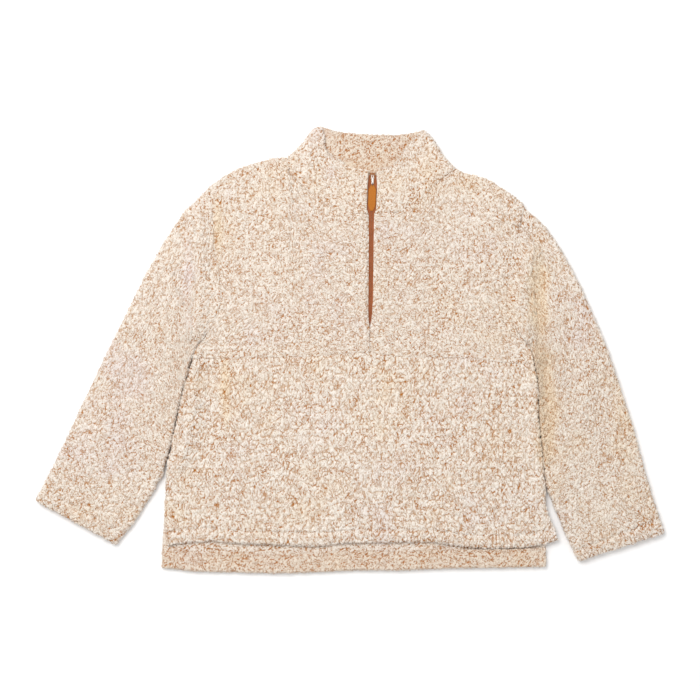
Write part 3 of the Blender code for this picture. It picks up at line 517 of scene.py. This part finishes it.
def tape_material():
    """Woven zip tape: fine crosswise ribs in rust brown."""
    material, nodes, links = new_material("woven_zip_tape")
    shader = nodes["Principled BSDF"]
    place = add_node(nodes, "ShaderNodeTexCoord").outputs["Object"]
    ribs = add_node(nodes, "ShaderNodeTexWave", bands_direction="Y")
    ribs.inputs["Scale"].default_value = 420
    ribs.inputs["Distortion"].default_value = 0.6
    links.new(place, ribs.inputs["Vector"])
    fine = noise_value(nodes, links, place, 900)
    worn = ranged(nodes, links, noise_value(nodes, links, place, 60), 0.35, 0.7)
    woven = blended(nodes, links, ribs.outputs["Fac"], (0.28, 0.075, 0.018, 1), (0.43, 0.13, 0.035, 1))
    links.new(blended(nodes, links, worn, woven, (0.45, 0.14, 0.045, 1)), shader.inputs["Base Color"])
    links.new(ranged(nodes, links, fine, 0.3, 0.7, 0.65, 0.85), shader.inputs["Roughness"])
    shader.inputs["Sheen Weight"].default_value = 0.15
    bump = add_node(nodes, "ShaderNodeBump")
    bump.inputs["Strength"].default_value = 0.6
    bump.inputs["Distance"].default_value = 0.0003
    links.new(ribs.outputs["Fac"], bump.inputs["Height"])
    links.new(bump.outputs["Normal"], shader.inputs["Normal"])
    return material


def coil_material():
    """Nylon zip coil, dyed to the tape."""
    material, nodes, links = new_material("nylon_zip_coil")
    shader = nodes["Principled BSDF"]
    place = add_node(nodes, "ShaderNodeTexCoord").outputs["Object"]
    tint = noise_value(nodes, links, place, 300)
    links.new(blended(nodes, links, tint, (0.28, 0.075, 0.02, 1), (0.46, 0.14, 0.04, 1)),
              shader.inputs["Base Color"])
    shader.inputs["Roughness"].default_value = 0.35
    return material


def metal_material(name, bright, dulled):
    """Plated zinc, with fine brushing and dulled patches."""
    material, nodes, links = new_material(name)
    shader = nodes["Principled BSDF"]
    place = add_node(nodes, "ShaderNodeTexCoord").outputs["Object"]
    brushed = noise_value(nodes, links, place, 2500)
    dull = noise_value(nodes, links, place, 260)
    links.new(blended(nodes, links, dull, bright, dulled),
              shader.inputs["Base Color"])
    links.new(ranged(nodes, links, brushed, 0.3, 0.7, 0.18, 0.34), shader.inputs["Roughness"])
    shader.inputs["Metallic"].default_value = 1.0
    return material


def leather_material():
    """Tan leather: pebbled grain, handled patches, and darker where the grain is deep."""
    material, nodes, links = new_material("tan_leather")
    shader = nodes["Principled BSDF"]
    place = add_node(nodes, "ShaderNodeTexCoord").outputs["Object"]
    grain = add_node(nodes, "ShaderNodeTexVoronoi", feature="DISTANCE_TO_EDGE")
    grain.inputs["Scale"].default_value = 1100
    links.new(place, grain.inputs["Vector"])
    pebble = ranged(nodes, links, grain.outputs["Distance"], 0.0, 0.28)
    handled = noise_value(nodes, links, place, 120)
    tan = blended(nodes, links, handled, (0.48, 0.16, 0.012, 1), (0.57, 0.215, 0.022, 1))
    links.new(blended(nodes, links, pebble, (0.40, 0.12, 0.01, 1), tan), shader.inputs["Base Color"])
    shader.inputs["Specular IOR Level"].default_value = 0.2
    links.new(ranged(nodes, links, handled, 0.3, 0.7, 0.38, 0.58), shader.inputs["Roughness"])
    bump = add_node(nodes, "ShaderNodeBump")
    bump.inputs["Strength"].default_value = 0.5
    bump.inputs["Distance"].default_value = 0.0002
    links.new(pebble, bump.inputs["Height"])
    links.new(bump.outputs["Normal"], shader.inputs["Normal"])
    return material


def floor_material():
    material, nodes, links = new_material("pale_floor")
    shader = nodes["Principled BSDF"]
    place = add_node(nodes, "ShaderNodeTexCoord").outputs["Object"]
    faint = noise_value(nodes, links, place, 3)
    links.new(blended(nodes, links, faint, (0.93, 0.93, 0.93, 1), (0.95, 0.95, 0.95, 1)),
              shader.inputs["Base Color"])
    shader.inputs["Roughness"].default_value = 0.9
    shader.inputs["Specular IOR Level"].default_value = 0.1
    return material


# Curl tips, the curl sides' darker fibre tone with painted crevice shade, and the rust ground.
TIP, CURL_SIDE_AND_CREVICE_SHADE, GROUND = (0.85, 0.79, 0.72, 1), (0.54, 0.405, 0.275, 1), (0.37, 0.128, 0.008, 1)
COOL, WARM = (0.93, 0.91, 1.0, 1), (1.0, 0.91, 0.76, 1)
FLEECE = fleece_material("sherpa_fleece", TIP, CURL_SIDE_AND_CREVICE_SHADE, GROUND, COOL, WARM)
NAPPED_FLEECE = fleece_material("sherpa_fleece_napped", TIP, CURL_SIDE_AND_CREVICE_SHADE, GROUND, COOL, WARM, lie=1.9)
INNER_FLEECE = fleece_material("sherpa_fleece_inner", (0.78, 0.69, 0.585, 1), (0.53, 0.385, 0.27, 1),
                               (0.37, 0.125, 0.014, 1), COOL, WARM)


# ---------------------------------------------------------------- body panels

def tone_and_shade_tint_at(x, y, seed):
    """Cool (below 0) and warm (above 0) tints over the cloth: random tone, plus painted tints of light and
    shade on the folds.
    """
    tint = waves(x, y, 110, seed) * 0.5 + waves(x, y, 36, seed + 1) * 0.35
    # Painted tints of light and shade on the folds.
    for cx, cy, reach_x, reach_y, warmth in FOLD_LIGHT_AND_SHADE_TINTS:
        tint = tint + warmth * np.exp(-((x - cx) / reach_x) ** 2 - ((y - cy) / reach_y) ** 2)
    return np.clip(tint, -1.2, 1.2)


def cloth_marks(x, y, flat, curl, extra, seed):
    bare = np.clip(bareness(flat[..., 0], flat[..., 1], seed) + extra + spots(x, y), 0, 1.15)
    return {"curl": curl, "bare": bare, "tone_and_shade_tint": tone_and_shade_tint_at(x, y, 71)}


def front_panel(name, grid, seed, lie, free, seams, hem, extra_at):
    """A front panel from its plan grid. free and seams say how much of each side is rounded over or sewn."""
    x, y = grid[..., 0], grid[..., 1]
    edge = edge_distances(grid)
    full = np.ones_like(x)
    for side, share in free.items():
        full = full * (1 - share * (1 - rounding(edge[side], EDGE_ROUND)))
    half = CLOTH / 2
    rise = fold_height(FRONT_FOLDS, x, y) + 0.7 * waves(x, y, 55, seed + 20)
    if hem:
        rise = rise + np.interp(edge["bottom"], *np.array(HEM_TURN).T)
    for side, (depth, reach, share) in seams.items():
        rise = rise - share * depth * np.exp(-(edge[side] / reach) ** 2)
    z = FRONT + half + (half + rise) * full
    places = np.dstack([x, y, z])
    level = np.ones_like(x)
    for side, (depth, reach, share) in seams.items():
        level = level * (1 - share * (1 - np.clip(edge[side] / 3, 0, 1)))
    places, curl = with_pile(places, grid, seed, lie, np.ones_like(x), level=level)
    marks = cloth_marks(x, y, grid, curl, extra_at(edge), seed)
    thing = panel_object(name + "_panel", places, FRONT, marks, NAPPED_FLEECE if hem else FLEECE)
    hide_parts(name)
    return thing


def rounded_off(edge, reach):
    """1 over a piece, falling to 0 at each of its four edges."""
    full = 1.0
    for side in ("bottom", "left", "right", "top"):
        full = full * rounding(edge[side], reach)
    return full


def seam_rust(edge, side, reach, strength):
    return strength * np.exp(-(edge[side] / reach) ** 2)


def lower_front_panel():
    left, right = smooth_line(SIDE_LEFT), smooth_line(SIDE_RIGHT)
    bottom = np.vstack([smooth_line(HEM_FRONT_LEFT), smooth_line(HEM_FRONT_RIGHT)[1:]])
    top = np.vstack([smooth_line(CROSS_LEFT), smooth_line(CROSS_RIGHT)[1:]])
    rows = spaced(length_of(left), CELL, ROUND_STEPS, SEAM_STEPS)
    columns = spaced(length_of(bottom), CELL, ROUND_STEPS, ROUND_STEPS)
    grid = patch_between(left, right, bottom, top, rows, columns)
    grid[-1, :, 1] -= SEAM_TOUCH

    def extra(edge):
        return (seam_rust(edge, "top", 3, 0.30) + 0.30 * stitched(edge["bottom"], STITCH_LINE, 3)
                + seam_rust(edge, "bottom", 4, 0.25) + seam_rust(edge, "left", 5, 0.2))

    return front_panel("lower_front", grid, 11, 1.8, {"bottom": 1, "left": 1, "right": 1},
                       {"top": (1.0, 1.8, 1)}, True, extra)


def ended_at(line, end, side):
    """The line cut off at the zip's edge, and ended there. side is -1 where the line comes from the left."""
    kept = line[(line[:, 0] - end[0]) * side > 0.5]
    return np.vstack([kept, end[None]]) if side < 0 else np.vstack([end[None], kept])


def upper_front_panel(name, side, underarm, armhole, shoulder, neck, cross, seed):
    """One upper front, from the cross seam to the shoulder and neck. side is -1 left, 1 right."""
    outer = np.vstack([smooth_line(underarm), shifted(smooth_line(armhole), side * SEAM_TOUCH)[1:]])
    zip_y = np.array([cross[-1 if side < 0 else 0][1], neck[-1 if side < 0 else 0][1]], float)
    rows = spaced(length_of(outer), CELL, SEAM_STEPS, ROUND_STEPS)
    inner_y = zip_y[0] + (zip_y[1] - zip_y[0]) * rows
    middle, half = slot_at(inner_y)
    half = half + 0.5 * eased(inner_y, 40, 70)
    inner = np.column_stack([middle + side * half, inner_y])
    outer = at_fractions(outer, rows)
    parts = (smooth_line(shoulder), smooth_line(neck)[1:]) if side < 0 else (smooth_line(neck),
                                                                            smooth_line(shoulder)[1:])
    top = ended_at(np.vstack(parts), inner[-1], side)
    low = ended_at(smooth_line(cross), inner[0], side)
    ends = (SEAM_STEPS, (0.0, 0.8, 1.8)) if side < 0 else ((0.0, 0.8, 1.8), SEAM_STEPS)
    columns = spaced(length_of(top), CELL, *ends)
    top, low = at_fractions(top, columns), at_fractions(low, columns)
    if side < 0:
        outer[0], outer[-1] = low[0], top[0]
        grid = patch(outer, inner, low, top)
    else:
        outer[0], outer[-1] = low[-1], top[-1]
        grid = patch(inner, outer, low, top)
    zip_side = "right" if side < 0 else "left"
    arm_side = "left" if side < 0 else "right"
    corner = neck[0][0] if side < 0 else neck[-1][0]
    on_shoulder = eased((grid[..., 0] - corner) * side, -2, 8)
    at_zip = 0.3 + 0.7 * eased(grid[..., 1], 30, 48)

    def extra(edge):
        return (seam_rust(edge, "bottom", 3, 0.30) + seam_rust(edge, zip_side, 2.5, 0.25)
                + 0.8 * stitched(edge["top"], 11, 2.2) * on_shoulder + seam_rust(edge, arm_side, 4, 0.2)
                + seam_rust(edge, "top", 3.5, 0.45) * (1 - on_shoulder))

    return front_panel(name, grid, seed, 1.05, {"top": on_shoulder},
                       {"bottom": (1.0, 1.8, 1), zip_side: (2.8, 2.6, at_zip), arm_side: (0.5, 2.2, 1),
                        "top": (0.9, 2.2, 1 - on_shoulder)}, False, extra)


def back_panel():
    """The back: its inner face shows only in a strip at the hem, so its mesh is finest there."""
    left = np.vstack([smooth_line(VENT_LEFT), smooth_line([p for p in SIDE_LEFT if p[1] >= -265])[1:],
                      smooth_line(UNDERARM_LEFT)[1:], smooth_line(ARMHOLE_LEFT)[1:]])
    right = np.vstack([smooth_line(VENT_RIGHT), smooth_line([p for p in SIDE_RIGHT if p[1] >= -260])[1:],
                       smooth_line(UNDERARM_RIGHT)[1:], smooth_line(ARMHOLE_RIGHT)[1:]])
    top = np.vstack([smooth_line(SHOULDER_LEFT), smooth_line(NECK_BACK)[1:], smooth_line(SHOULDER_RIGHT)[1:]])
    bottom = smooth_line(HEM_BACK)
    length = length_of(left)
    strip = 72.0 / length
    near = spaced(length, CELL, ROUND_STEPS, (0.0,))
    near = near[near < strip]
    rows = np.concatenate([near, strip + (1 - strip) * spaced(length * (1 - strip), 4.5, (0.0,), ROUND_STEPS)])
    columns = spaced(length_of(bottom), 2.2, ROUND_STEPS, ROUND_STEPS)
    grid = patch_between(left, right, bottom, top, rows, columns)
    x, y = grid[..., 0], grid[..., 1]
    edge = edge_distances(grid)
    full = rounded_off(edge, EDGE_ROUND)
    half = CLOTH / 2
    z = half + half * full
    places = np.dstack([x, y, z])
    rim = np.minimum.reduce([edge["left"], edge["right"], edge["top"], edge["bottom"]])
    shown = eased(-y, 312, 322) * eased(edge["bottom"], 29, 34)
    weight = np.maximum(shown * 0.9, 0.8 * eased(-rim, -3.2, -1.2))
    places[..., 2] -= 1.2 * shown
    places, curl = with_pile(places, grid, 31, 1.0, weight)
    hidden = np.maximum(1 - shown, 0)
    places[..., 2] = np.where(hidden > 0.5, np.minimum(places[..., 2], CLOTH), places[..., 2])
    marks = cloth_marks(x, y, grid, curl, 0.5 * shown, 31)
    thing = panel_object("back_panel", places, 0.0, marks, FLEECE)
    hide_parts("back")
    return thing


def back_hem_band():
    """The back hem's allowance, turned up and stitched on the back's inner face."""
    edge_line = at_fractions(smooth_line(HEM_BACK), spaced(length_of(smooth_line(HEM_BACK)), CELL))
    run, edge_steps = HEM_BAND - HEM_BAND_INSET, (0.0, 0.5, 1.4)
    depths = HEM_BAND_INSET + run * spaced(run, CELL, edge_steps, edge_steps)
    grid = np.stack([shifted(edge_line, depth) for depth in depths])
    low, high = edge_line[0, 0] + HEM_BAND_INSET, edge_line[-1, 0] - HEM_BAND_INSET
    grid[..., 0] = low + (high - low) * np.linspace(0, 1, grid.shape[1])
    x, y = grid[..., 0], grid[..., 1]
    edge = edge_distances(grid)
    half = HEM_BAND_WALL / 2
    full = rounded_off(edge, half)
    rise = 0.4 * waves(x, y, 40, 47) - 1.3 * stitched(edge["top"], 5, 1.8)
    places = np.dstack([x, y, FRONT + half + (half + rise) * full])
    places, curl = with_pile(places, grid, 41, 1.0, np.full_like(x, 0.75))
    extra = 0.26 + 0.3 * stitched(edge["top"], 5, 2.5) + seam_rust(edge, "top", 3.0, 0.95)
    marks = cloth_marks(x, y, grid, curl, extra, 41)
    thing = panel_object("back_hem_band", places, FRONT, marks, INNER_FLEECE)
    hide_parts("back_hem")
    return thing


# ---------------------------------------------------------------- sleeves

def bowed(row, side, count):
    """A ring's line across the sleeve, from its outer edge to its inner edge."""
    x0, y0, x1, y1, bow = row
    length = math.hypot(x1 - x0, y1 - y0)
    t = np.linspace(0, 1, count)
    swell = bow * 6.75 * t * (1 - t) ** 2 * side
    return np.column_stack([x0 + (x1 - x0) * t + (y1 - y0) / length * swell,
                            y0 + (y1 - y0) * t - (x1 - x0) / length * swell])


def sleeve_lines(side, armhole, rings, count=61):
    """The sleeve's sections from the armhole to the cuff, and how far along the sleeve each one is."""
    clear = shifted(smooth_line(armhole), side * SEAM_LAP)
    start = at_fractions(clear, np.linspace(0, 1, count))[::-1]
    slack = np.linspace(0, 1, count)[:, None] ** 12
    start = start + slack * np.array([side * 2 * SEAM, SEAM])
    lines = np.stack([start] + [bowed(row, side, count) for row in rings])
    step = np.linalg.norm(np.diff(lines, axis=0), axis=2).mean(axis=1)
    return lines, np.concatenate([[0.0], np.cumsum(step)])


def sleeve_tube(name, side, armhole, rings, seed):
    """A sleeve: a flat tube of two layers, open at the cuff, with its armhole end against the body."""
    lines, along = sleeve_lines(side, armhole, rings)
    total = along[-1]
    outer_steps = spaced(total, CELL, (0.0,), ROUND_STEPS) * total
    inner_steps = total - np.concatenate([np.array(ROUND_STEPS[1:]),
                                          (9, 22, 50, 110, 190, 280, 380, 480, total)])
    inner_steps = inner_steps[inner_steps >= 0]
    sections = [(step, True) for step in outer_steps] + [(step, False) for step in inner_steps]
    width = np.linalg.norm(np.diff(lines, axis=1), axis=2).sum(axis=1)
    shown_count = int(width.mean() / CELL)
    turn = np.array([1 - math.cos(math.radians(angle)) for angle in (0, 18, 36, 54, 72)])
    body = np.linspace(0, 1, shown_count)
    hidden = body[1:-1:8][::-1]
    rows, flats, weights = [], [], []
    for step, outside in sections:
        k = min(int(np.searchsorted(along, step, side="right")) - 1, len(along) - 2)
        t = (step - along[k]) / (along[k + 1] - along[k])
        line = lines[k] + (lines[k + 1] - lines[k]) * t
        length = length_of(line)
        from_cuff = total - step
        lip = math.sqrt(max(1 - (1 - min(from_cuff / EDGE_ROUND, 1)) ** 2, 0))
        half = SLEEVE_LAYER / 2
        reach = LAYER_SLIT + half + (half if outside else -half) * lip
        draw = half * (1 - lip) if outside else half + half * lip
        inner_round = min(1.2 + 6 * step / 220, SLEEVE_MIDDLE)
        outer_round = SLEEVE_MIDDLE
        start = np.concatenate([outer_round * turn, outer_round + (length - outer_round - inner_round) * body,
                                length - inner_round * turn[::-1]])
        back = np.concatenate([length - inner_round * turn[1:],
                               outer_round + (length - outer_round - inner_round) * hidden,
                               outer_round * turn[:0:-1]])
        places = np.concatenate([start, back])
        fullness = rounding(places, outer_round) * rounding(length - places, inner_round)
        top = np.concatenate([np.ones(len(start)), -np.ones(len(back))])
        drawn = draw + places * (1 - 2 * draw / length)
        plan = at_fractions(line, drawn / length)
        x, y = plan.T
        rise = fold_height(SLEEVE_FOLDS, x, y) + 0.8 * waves(x, y, 60, seed + 20)
        rise = rise + np.interp(from_cuff, *np.array(HEM_TURN).T) - 0.5 * math.exp(-(step / 2.2) ** 2)
        lift = np.where(top > 0, rise, 0) * fullness * min(from_cuff / EDGE_ROUND, 1)
        if not outside:
            lift = np.maximum(lift, 0)
        rows.append(np.column_stack([plan, SLEEVE_MIDDLE + top * reach * fullness + lift]))
        reach_round = np.where(top > 0, places, -places)
        flats.append(np.column_stack([reach_round, np.full(len(places), step)]))
        on_side = eased(top * fullness, -0.75, 0.05)
        weights.append(on_side * (1.0 if outside else 0.0))
    grid, flat, weight = np.stack(rows), np.stack(flats), np.stack(weights)
    shown = len(outer_steps)
    level = np.clip(flat[:shown, :, 1] / 3, 0, 1)
    outer, curl = with_pile(grid[:shown], flat[:shown], seed, 1.15, weight[:shown], flip=side, level=level)
    places = np.concatenate([outer, grid[shown:]])
    curl = np.concatenate([curl, curls(flat[shown:, :, 0], flat[shown:, :, 1], seed, 1.15)])
    from_cuff = total - flat[..., 1]
    x, y = places[..., 0], places[..., 1]
    extra = (0.25 * stitched(from_cuff, STITCH_LINE, 3) + 0.3 * np.exp(-(from_cuff / 4) ** 2)
             + 0.35 * np.exp(-(flat[..., 1] / 6) ** 2))
    extra[shown:] += 0.5
    marks = cloth_marks(x, y, flat, curl, extra, seed)
    thing = band_object(name + "_tube", places, marks, FLEECE, True)
    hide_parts(name)
    return thing


# ---------------------------------------------------------------- collar

def collar_line(neck, top, level, count, clear=-SEAM_LAP):
    low = at_fractions(shifted(smooth_line(neck), clear), np.linspace(0, 1, count))
    high = at_fractions(smooth_line(top), np.linspace(0, 1, count))
    return low + (high - low) * level


def trimmed(line, start, end, places):
    """Points of a line with its ends shortened."""
    length = length_of(line)
    return at_fractions(line, (start + (length - start - end) * places) / length)


def collar_row(level, outside, counts):
    """One level of the collar: left front, round its fold, the back, round the other fold, right front."""
    front_count, turn_count, back_count = counts
    along = max(level, 0.03)
    folds = [at_fractions(smooth_line(line), (along,))[0] for line in (COLLAR_FOLD_LEFT, COLLAR_FOLD_RIGHT)]
    left = collar_line(NECK_LEFT, COLLAR_TOP_LEFT, level, 160)
    right = collar_line(NECK_RIGHT, COLLAR_TOP_RIGHT, level, 160)
    back = collar_line(NECK_BACK, COLLAR_TOP_BACK, level, 60, 3.5 * SEAM)
    left[0] = back[0] = folds[0]
    right[-1] = back[-1] = folds[1]
    ends = []
    for line, end, side in ((left, -1, -1), (right, 0, 1)):
        middle, half = slot_at(line[end][1])
        ends.append(ended_at(line, np.array([middle + side * (half + COLLAR_ZIP_GAP), line[end][1]]), side))
    left, right = ends
    inset = COLLAR_MIDDLE * min(1.0, 1.45 - level)
    close = spaced(100, 100 / (front_count - 5), (0.0, 0.5, 1.4, 3.0), (0.0,))
    close = np.interp(np.linspace(0, 1, front_count), np.linspace(0, 1, len(close)), close)
    left_line = trimmed(left, inset, 0, 1 - close)
    right_line = trimmed(right, 0, inset, close)
    back_line = trimmed(back, inset, inset, np.linspace(0, 1, back_count))
    from_edge = (1 - level) * COLLAR_STAND
    lip = math.sqrt(max(1 - (1 - min(from_edge / 3.75, 1)) ** 2, 0))
    half = COLLAR_LAYER / 2
    from_zip = close * length_of(left)
    ends = 0.15 + 0.85 * rounding(from_zip, 3.2)
    sign = 1 if outside else -1
    front_reach = LAYER_SLIT + half + sign * half * lip * ends
    reach = LAYER_SLIT + half + sign * half * lip
    turns = np.radians(np.linspace(90, -90, turn_count + 2)[1:-1])
    row = [np.column_stack([left_line, COLLAR_MIDDLE + front_reach])]
    row.append(collar_turn(left_line[-1], back_line[0], left[0], reach, turns))
    row.append(np.column_stack([back_line, np.full(back_count, COLLAR_MIDDLE - reach)]))
    row.append(collar_turn(right_line[-1], back_line[-1], right[-1], reach, turns)[::-1])
    row.append(np.column_stack([right_line, COLLAR_MIDDLE + front_reach])[::-1])
    row = np.vstack(row)
    top = np.concatenate([np.ones(front_count), (1 + np.sin(turns)) / 2, np.zeros(back_count),
                          (1 + np.sin(turns[::-1])) / 2, np.ones(front_count)])
    zip_gap = np.concatenate([from_zip, np.full(2 * turn_count + back_count, 99.0), from_zip[::-1]])
    return row, top, zip_gap


def collar_turn(front, back, tip, reach, turns):
    """The collar's rolled side, between the ends of its front and back lines."""
    share = ((1 + np.sin(turns)) / 2)[:, None]
    centre = back + (front - back) * share
    plan = centre + (tip - centre) * (reach / COLLAR_MIDDLE * np.cos(turns))[:, None]
    return np.column_stack([plan, COLLAR_MIDDLE + reach * np.sin(turns)])


def collar_band():
    """The stand collar, folded flat: its front halves lie on its back, and part at the zip."""
    counts = (80, 9, 128)
    levels = spaced(COLLAR_STAND, 1.8, (0.0, 0.7), tuple(3.75 * step / EDGE_ROUND for step in ROUND_STEPS))
    rows, tops, gaps, flats = [], [], [], []
    for outside, chosen in ((True, levels), (False, levels[-2::-1])):
        for level in chosen:
            row, top, gap = collar_row(level, outside, counts)
            rows.append(row)
            tops.append(top)
            gaps.append(gap)
            around = np.concatenate([[0], np.cumsum(np.hypot(*np.diff(row[:, :2], axis=0).T))])
            flats.append(np.column_stack([around, np.full(len(row), level * COLLAR_STAND)]))
    places, top, gap, flat = (np.stack(part) for part in (rows, tops, gaps, flats))
    outside = np.zeros(places.shape[:2])
    outside[:len(levels)] = 1
    x, y = places[..., 0], places[..., 1]
    up = flat[..., 1]
    rise = fold_height(COLLAR_FOLDS, x, y) + 0.6 * waves(x, y, 45, 61)
    keep = np.clip((COLLAR_STAND - up) / 6, 0, 1)
    rise = np.where(outside > 0, rise, np.maximum(rise, 0)) * top * keep
    rise = rise - 0.9 * np.exp(-(up / 2.2) ** 2) * top * outside
    places[..., 2] += rise
    front_edge = np.vstack([smooth_line(COLLAR_TOP_LEFT), smooth_line(COLLAR_TOP_RIGHT)])
    order = np.argsort(front_edge[:, 0])
    edge_y = np.interp(x, front_edge[order, 0], front_edge[order, 1])
    seen = eased(y - edge_y, 3, 9) * (1 - outside) * (1 - top)
    seen = seen * eased(x, -40, -32) * (1 - eased(x, 108, 116))
    weight = np.maximum(outside * eased(top, 0.05, 0.6), seen * 0.9) * eased(gap, 0.2, 3)
    at_rim = eased(up, COLLAR_STAND - 5, COLLAR_STAND - 2)
    weight = np.maximum(weight, at_rim * eased(gap, 0.2, 3) * (outside * 0.9 + (1 - outside) * (1 - top) * 0.5))
    weight = weight * np.where(top > 0.5, eased(up, 0, 2.5), 1)
    level = np.clip(np.minimum(gap, np.where(top > 0.5, up, 9)) / 3, 0, 1)
    places, curl = with_pile(places, flat, 51, 1.0, weight, flip=-1, level=level)
    extra = 0.35 * seen + 0.45 * np.exp(-(up / 3.5) ** 2) + 0.25 * at_rim
    marks = cloth_marks(x, y, flat, curl, extra, 51)
    thing = band_object("collar_band", places, marks, FLEECE, False)
    thing.data.materials.append(INNER_FLEECE)
    columns = places.shape[1]
    for polygon in thing.data.polygons:
        row, column = divmod(polygon.vertices[0], columns)
        if row >= len(levels) - 1 and counts[0] <= column < columns - counts[0]:
            polygon.material_index = 1
    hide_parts("collar")
    return thing


# ---------------------------------------------------------------- zip

def zip_coil():
    """The closed coil's teeth: a fine row up the middle of the tapes."""
    bm = bmesh.new()
    low, high = COIL_RUN
    for k in range(int((high - low) / COIL_PITCH)):
        y = low + k * COIL_PITCH
        middle = slot_at(y)[0]
        lift = eased(np.float64(y), *TAPE_RISE)
        z = FRONT + TAPE_GAP + TAPE_THICK
        z += (COLLAR_MIDDLE + LAYER_SLIT + TAPE_THICK - FRONT - TAPE_GAP) * lift
        made = bmesh.ops.create_cone(bm, cap_ends=True, segments=6, radius1=COIL_WIRE, radius2=COIL_WIRE,
                                     depth=3.6)
        verts = made["verts"]
        side = COIL_STAGGER if k % 2 else -COIL_STAGGER
        bmesh.ops.rotate(bm, verts=verts, cent=(0, 0, 0), matrix=turn_to_x())
        bmesh.ops.translate(bm, verts=verts, vec=(middle + side, y, z + 0.3))
    bmesh.ops.bevel(bm, geom=[e for e in bm.edges if len(e.link_faces) == 2 and e.calc_face_angle() > 1.2],
                    offset=0.12, segments=1, profile=0.5, affect="EDGES", material=-1)
    bmesh.ops.scale(bm, vec=(MM, MM, MM), verts=bm.verts)
    return hard_object("zip_coil", bm, coil_material(), "garment")


def turn_to_x():
    """The turn that lays an upright rod along X."""
    return Matrix.Rotation(math.radians(90), 3, "Y")


def hard_object(name, bm, material, body):
    bmesh.ops.recalc_face_normals(bm, faces=bm.faces)
    mesh = bpy.data.meshes.new(name)
    bm.to_mesh(mesh)
    bm.free()
    mesh.shade_smooth()
    mesh.set_sharp_from_angle(angle=math.radians(40))
    mesh.materials.append(material)
    thing = bpy.data.objects.new(name, mesh)
    bpy.context.scene.collection.objects.link(thing)
    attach(thing, body)
    return thing


def finish_node(name, material):
    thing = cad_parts[name]
    for slot in thing.material_slots:
        slot.material = material


# ---------------------------------------------------------------- the room

def set_room():
    scene = bpy.context.scene
    scene.view_settings.view_transform = "Standard"
    world = bpy.data.worlds.new("soft_white_room")
    world.use_nodes = True
    world.node_tree.nodes["Background"].inputs["Color"].default_value = (1, 1, 1, 1)
    world.node_tree.nodes["Background"].inputs["Strength"].default_value = 0.74
    scene.world = world
    for name, place, size, power in (("overhead_softbox", (-0.7, 1.0, 2.6), 1.3, 50),):
        lamp = bpy.data.lights.new(name, "AREA")
        lamp.size = size
        lamp.energy = power
        thing = bpy.data.objects.new(name, lamp)
        thing.location = place
        thing.rotation_euler = (-thing.location).to_track_quat("-Z", "Y").to_euler()
        scene.collection.objects.link(thing)
    bm = bmesh.new()
    bmesh.ops.create_grid(bm, x_segments=1, y_segments=1, size=4)
    mesh = bpy.data.meshes.new("pale_floor")
    bm.to_mesh(mesh)
    bm.free()
    mesh.materials.append(floor_material())
    floor = bpy.data.objects.new("pale_floor", mesh)
    floor.location.z = -0.0004
    scene.collection.objects.link(floor)
    camera = bpy.data.cameras.new("overhead_camera")
    camera.sensor_width = 36
    camera.lens = 36 * 3.0 / 1.155
    eye = bpy.data.objects.new("overhead_camera", camera)
    eye.location = (0, 0, 3.0)
    scene.collection.objects.link(eye)
    scene.camera = eye


set_room()
lower = lower_front_panel()
upper_left = upper_front_panel("upper_front_left", -1, UNDERARM_LEFT, ARMHOLE_LEFT, SHOULDER_LEFT, NECK_LEFT,
                               CROSS_LEFT, 13)
upper_right = upper_front_panel("upper_front_right", 1, UNDERARM_RIGHT, ARMHOLE_RIGHT, SHOULDER_RIGHT,
                                NECK_RIGHT, CROSS_RIGHT, 17)
back = back_panel()
back_hem = back_hem_band()
sleeve_left = sleeve_tube("sleeve_left", -1, ARMHOLE_LEFT, SLEEVE_LEFT, 21)
sleeve_right = sleeve_tube("sleeve_right", 1, ARMHOLE_RIGHT, SLEEVE_RIGHT, 25)
collar = collar_band()
coil = zip_coil()

TAPE, LEATHER = tape_material(), leather_material()
NICKEL = metal_material("brushed_nickel", (0.33, 0.31, 0.29, 1), (0.19, 0.175, 0.165, 1))
BRONZE = metal_material("browned_brass", (0.22, 0.10, 0.045, 1), (0.12, 0.055, 0.03, 1))
for node in ("zip_tape_left", "zip_tape_right"):
    finish_node(node, TAPE)
finish_node("zip_slider", BRONZE)
for node in ("pull_link", "pull_ring"):
    finish_node(node, NICKEL)
finish_node("pull_tab", LEATHER)
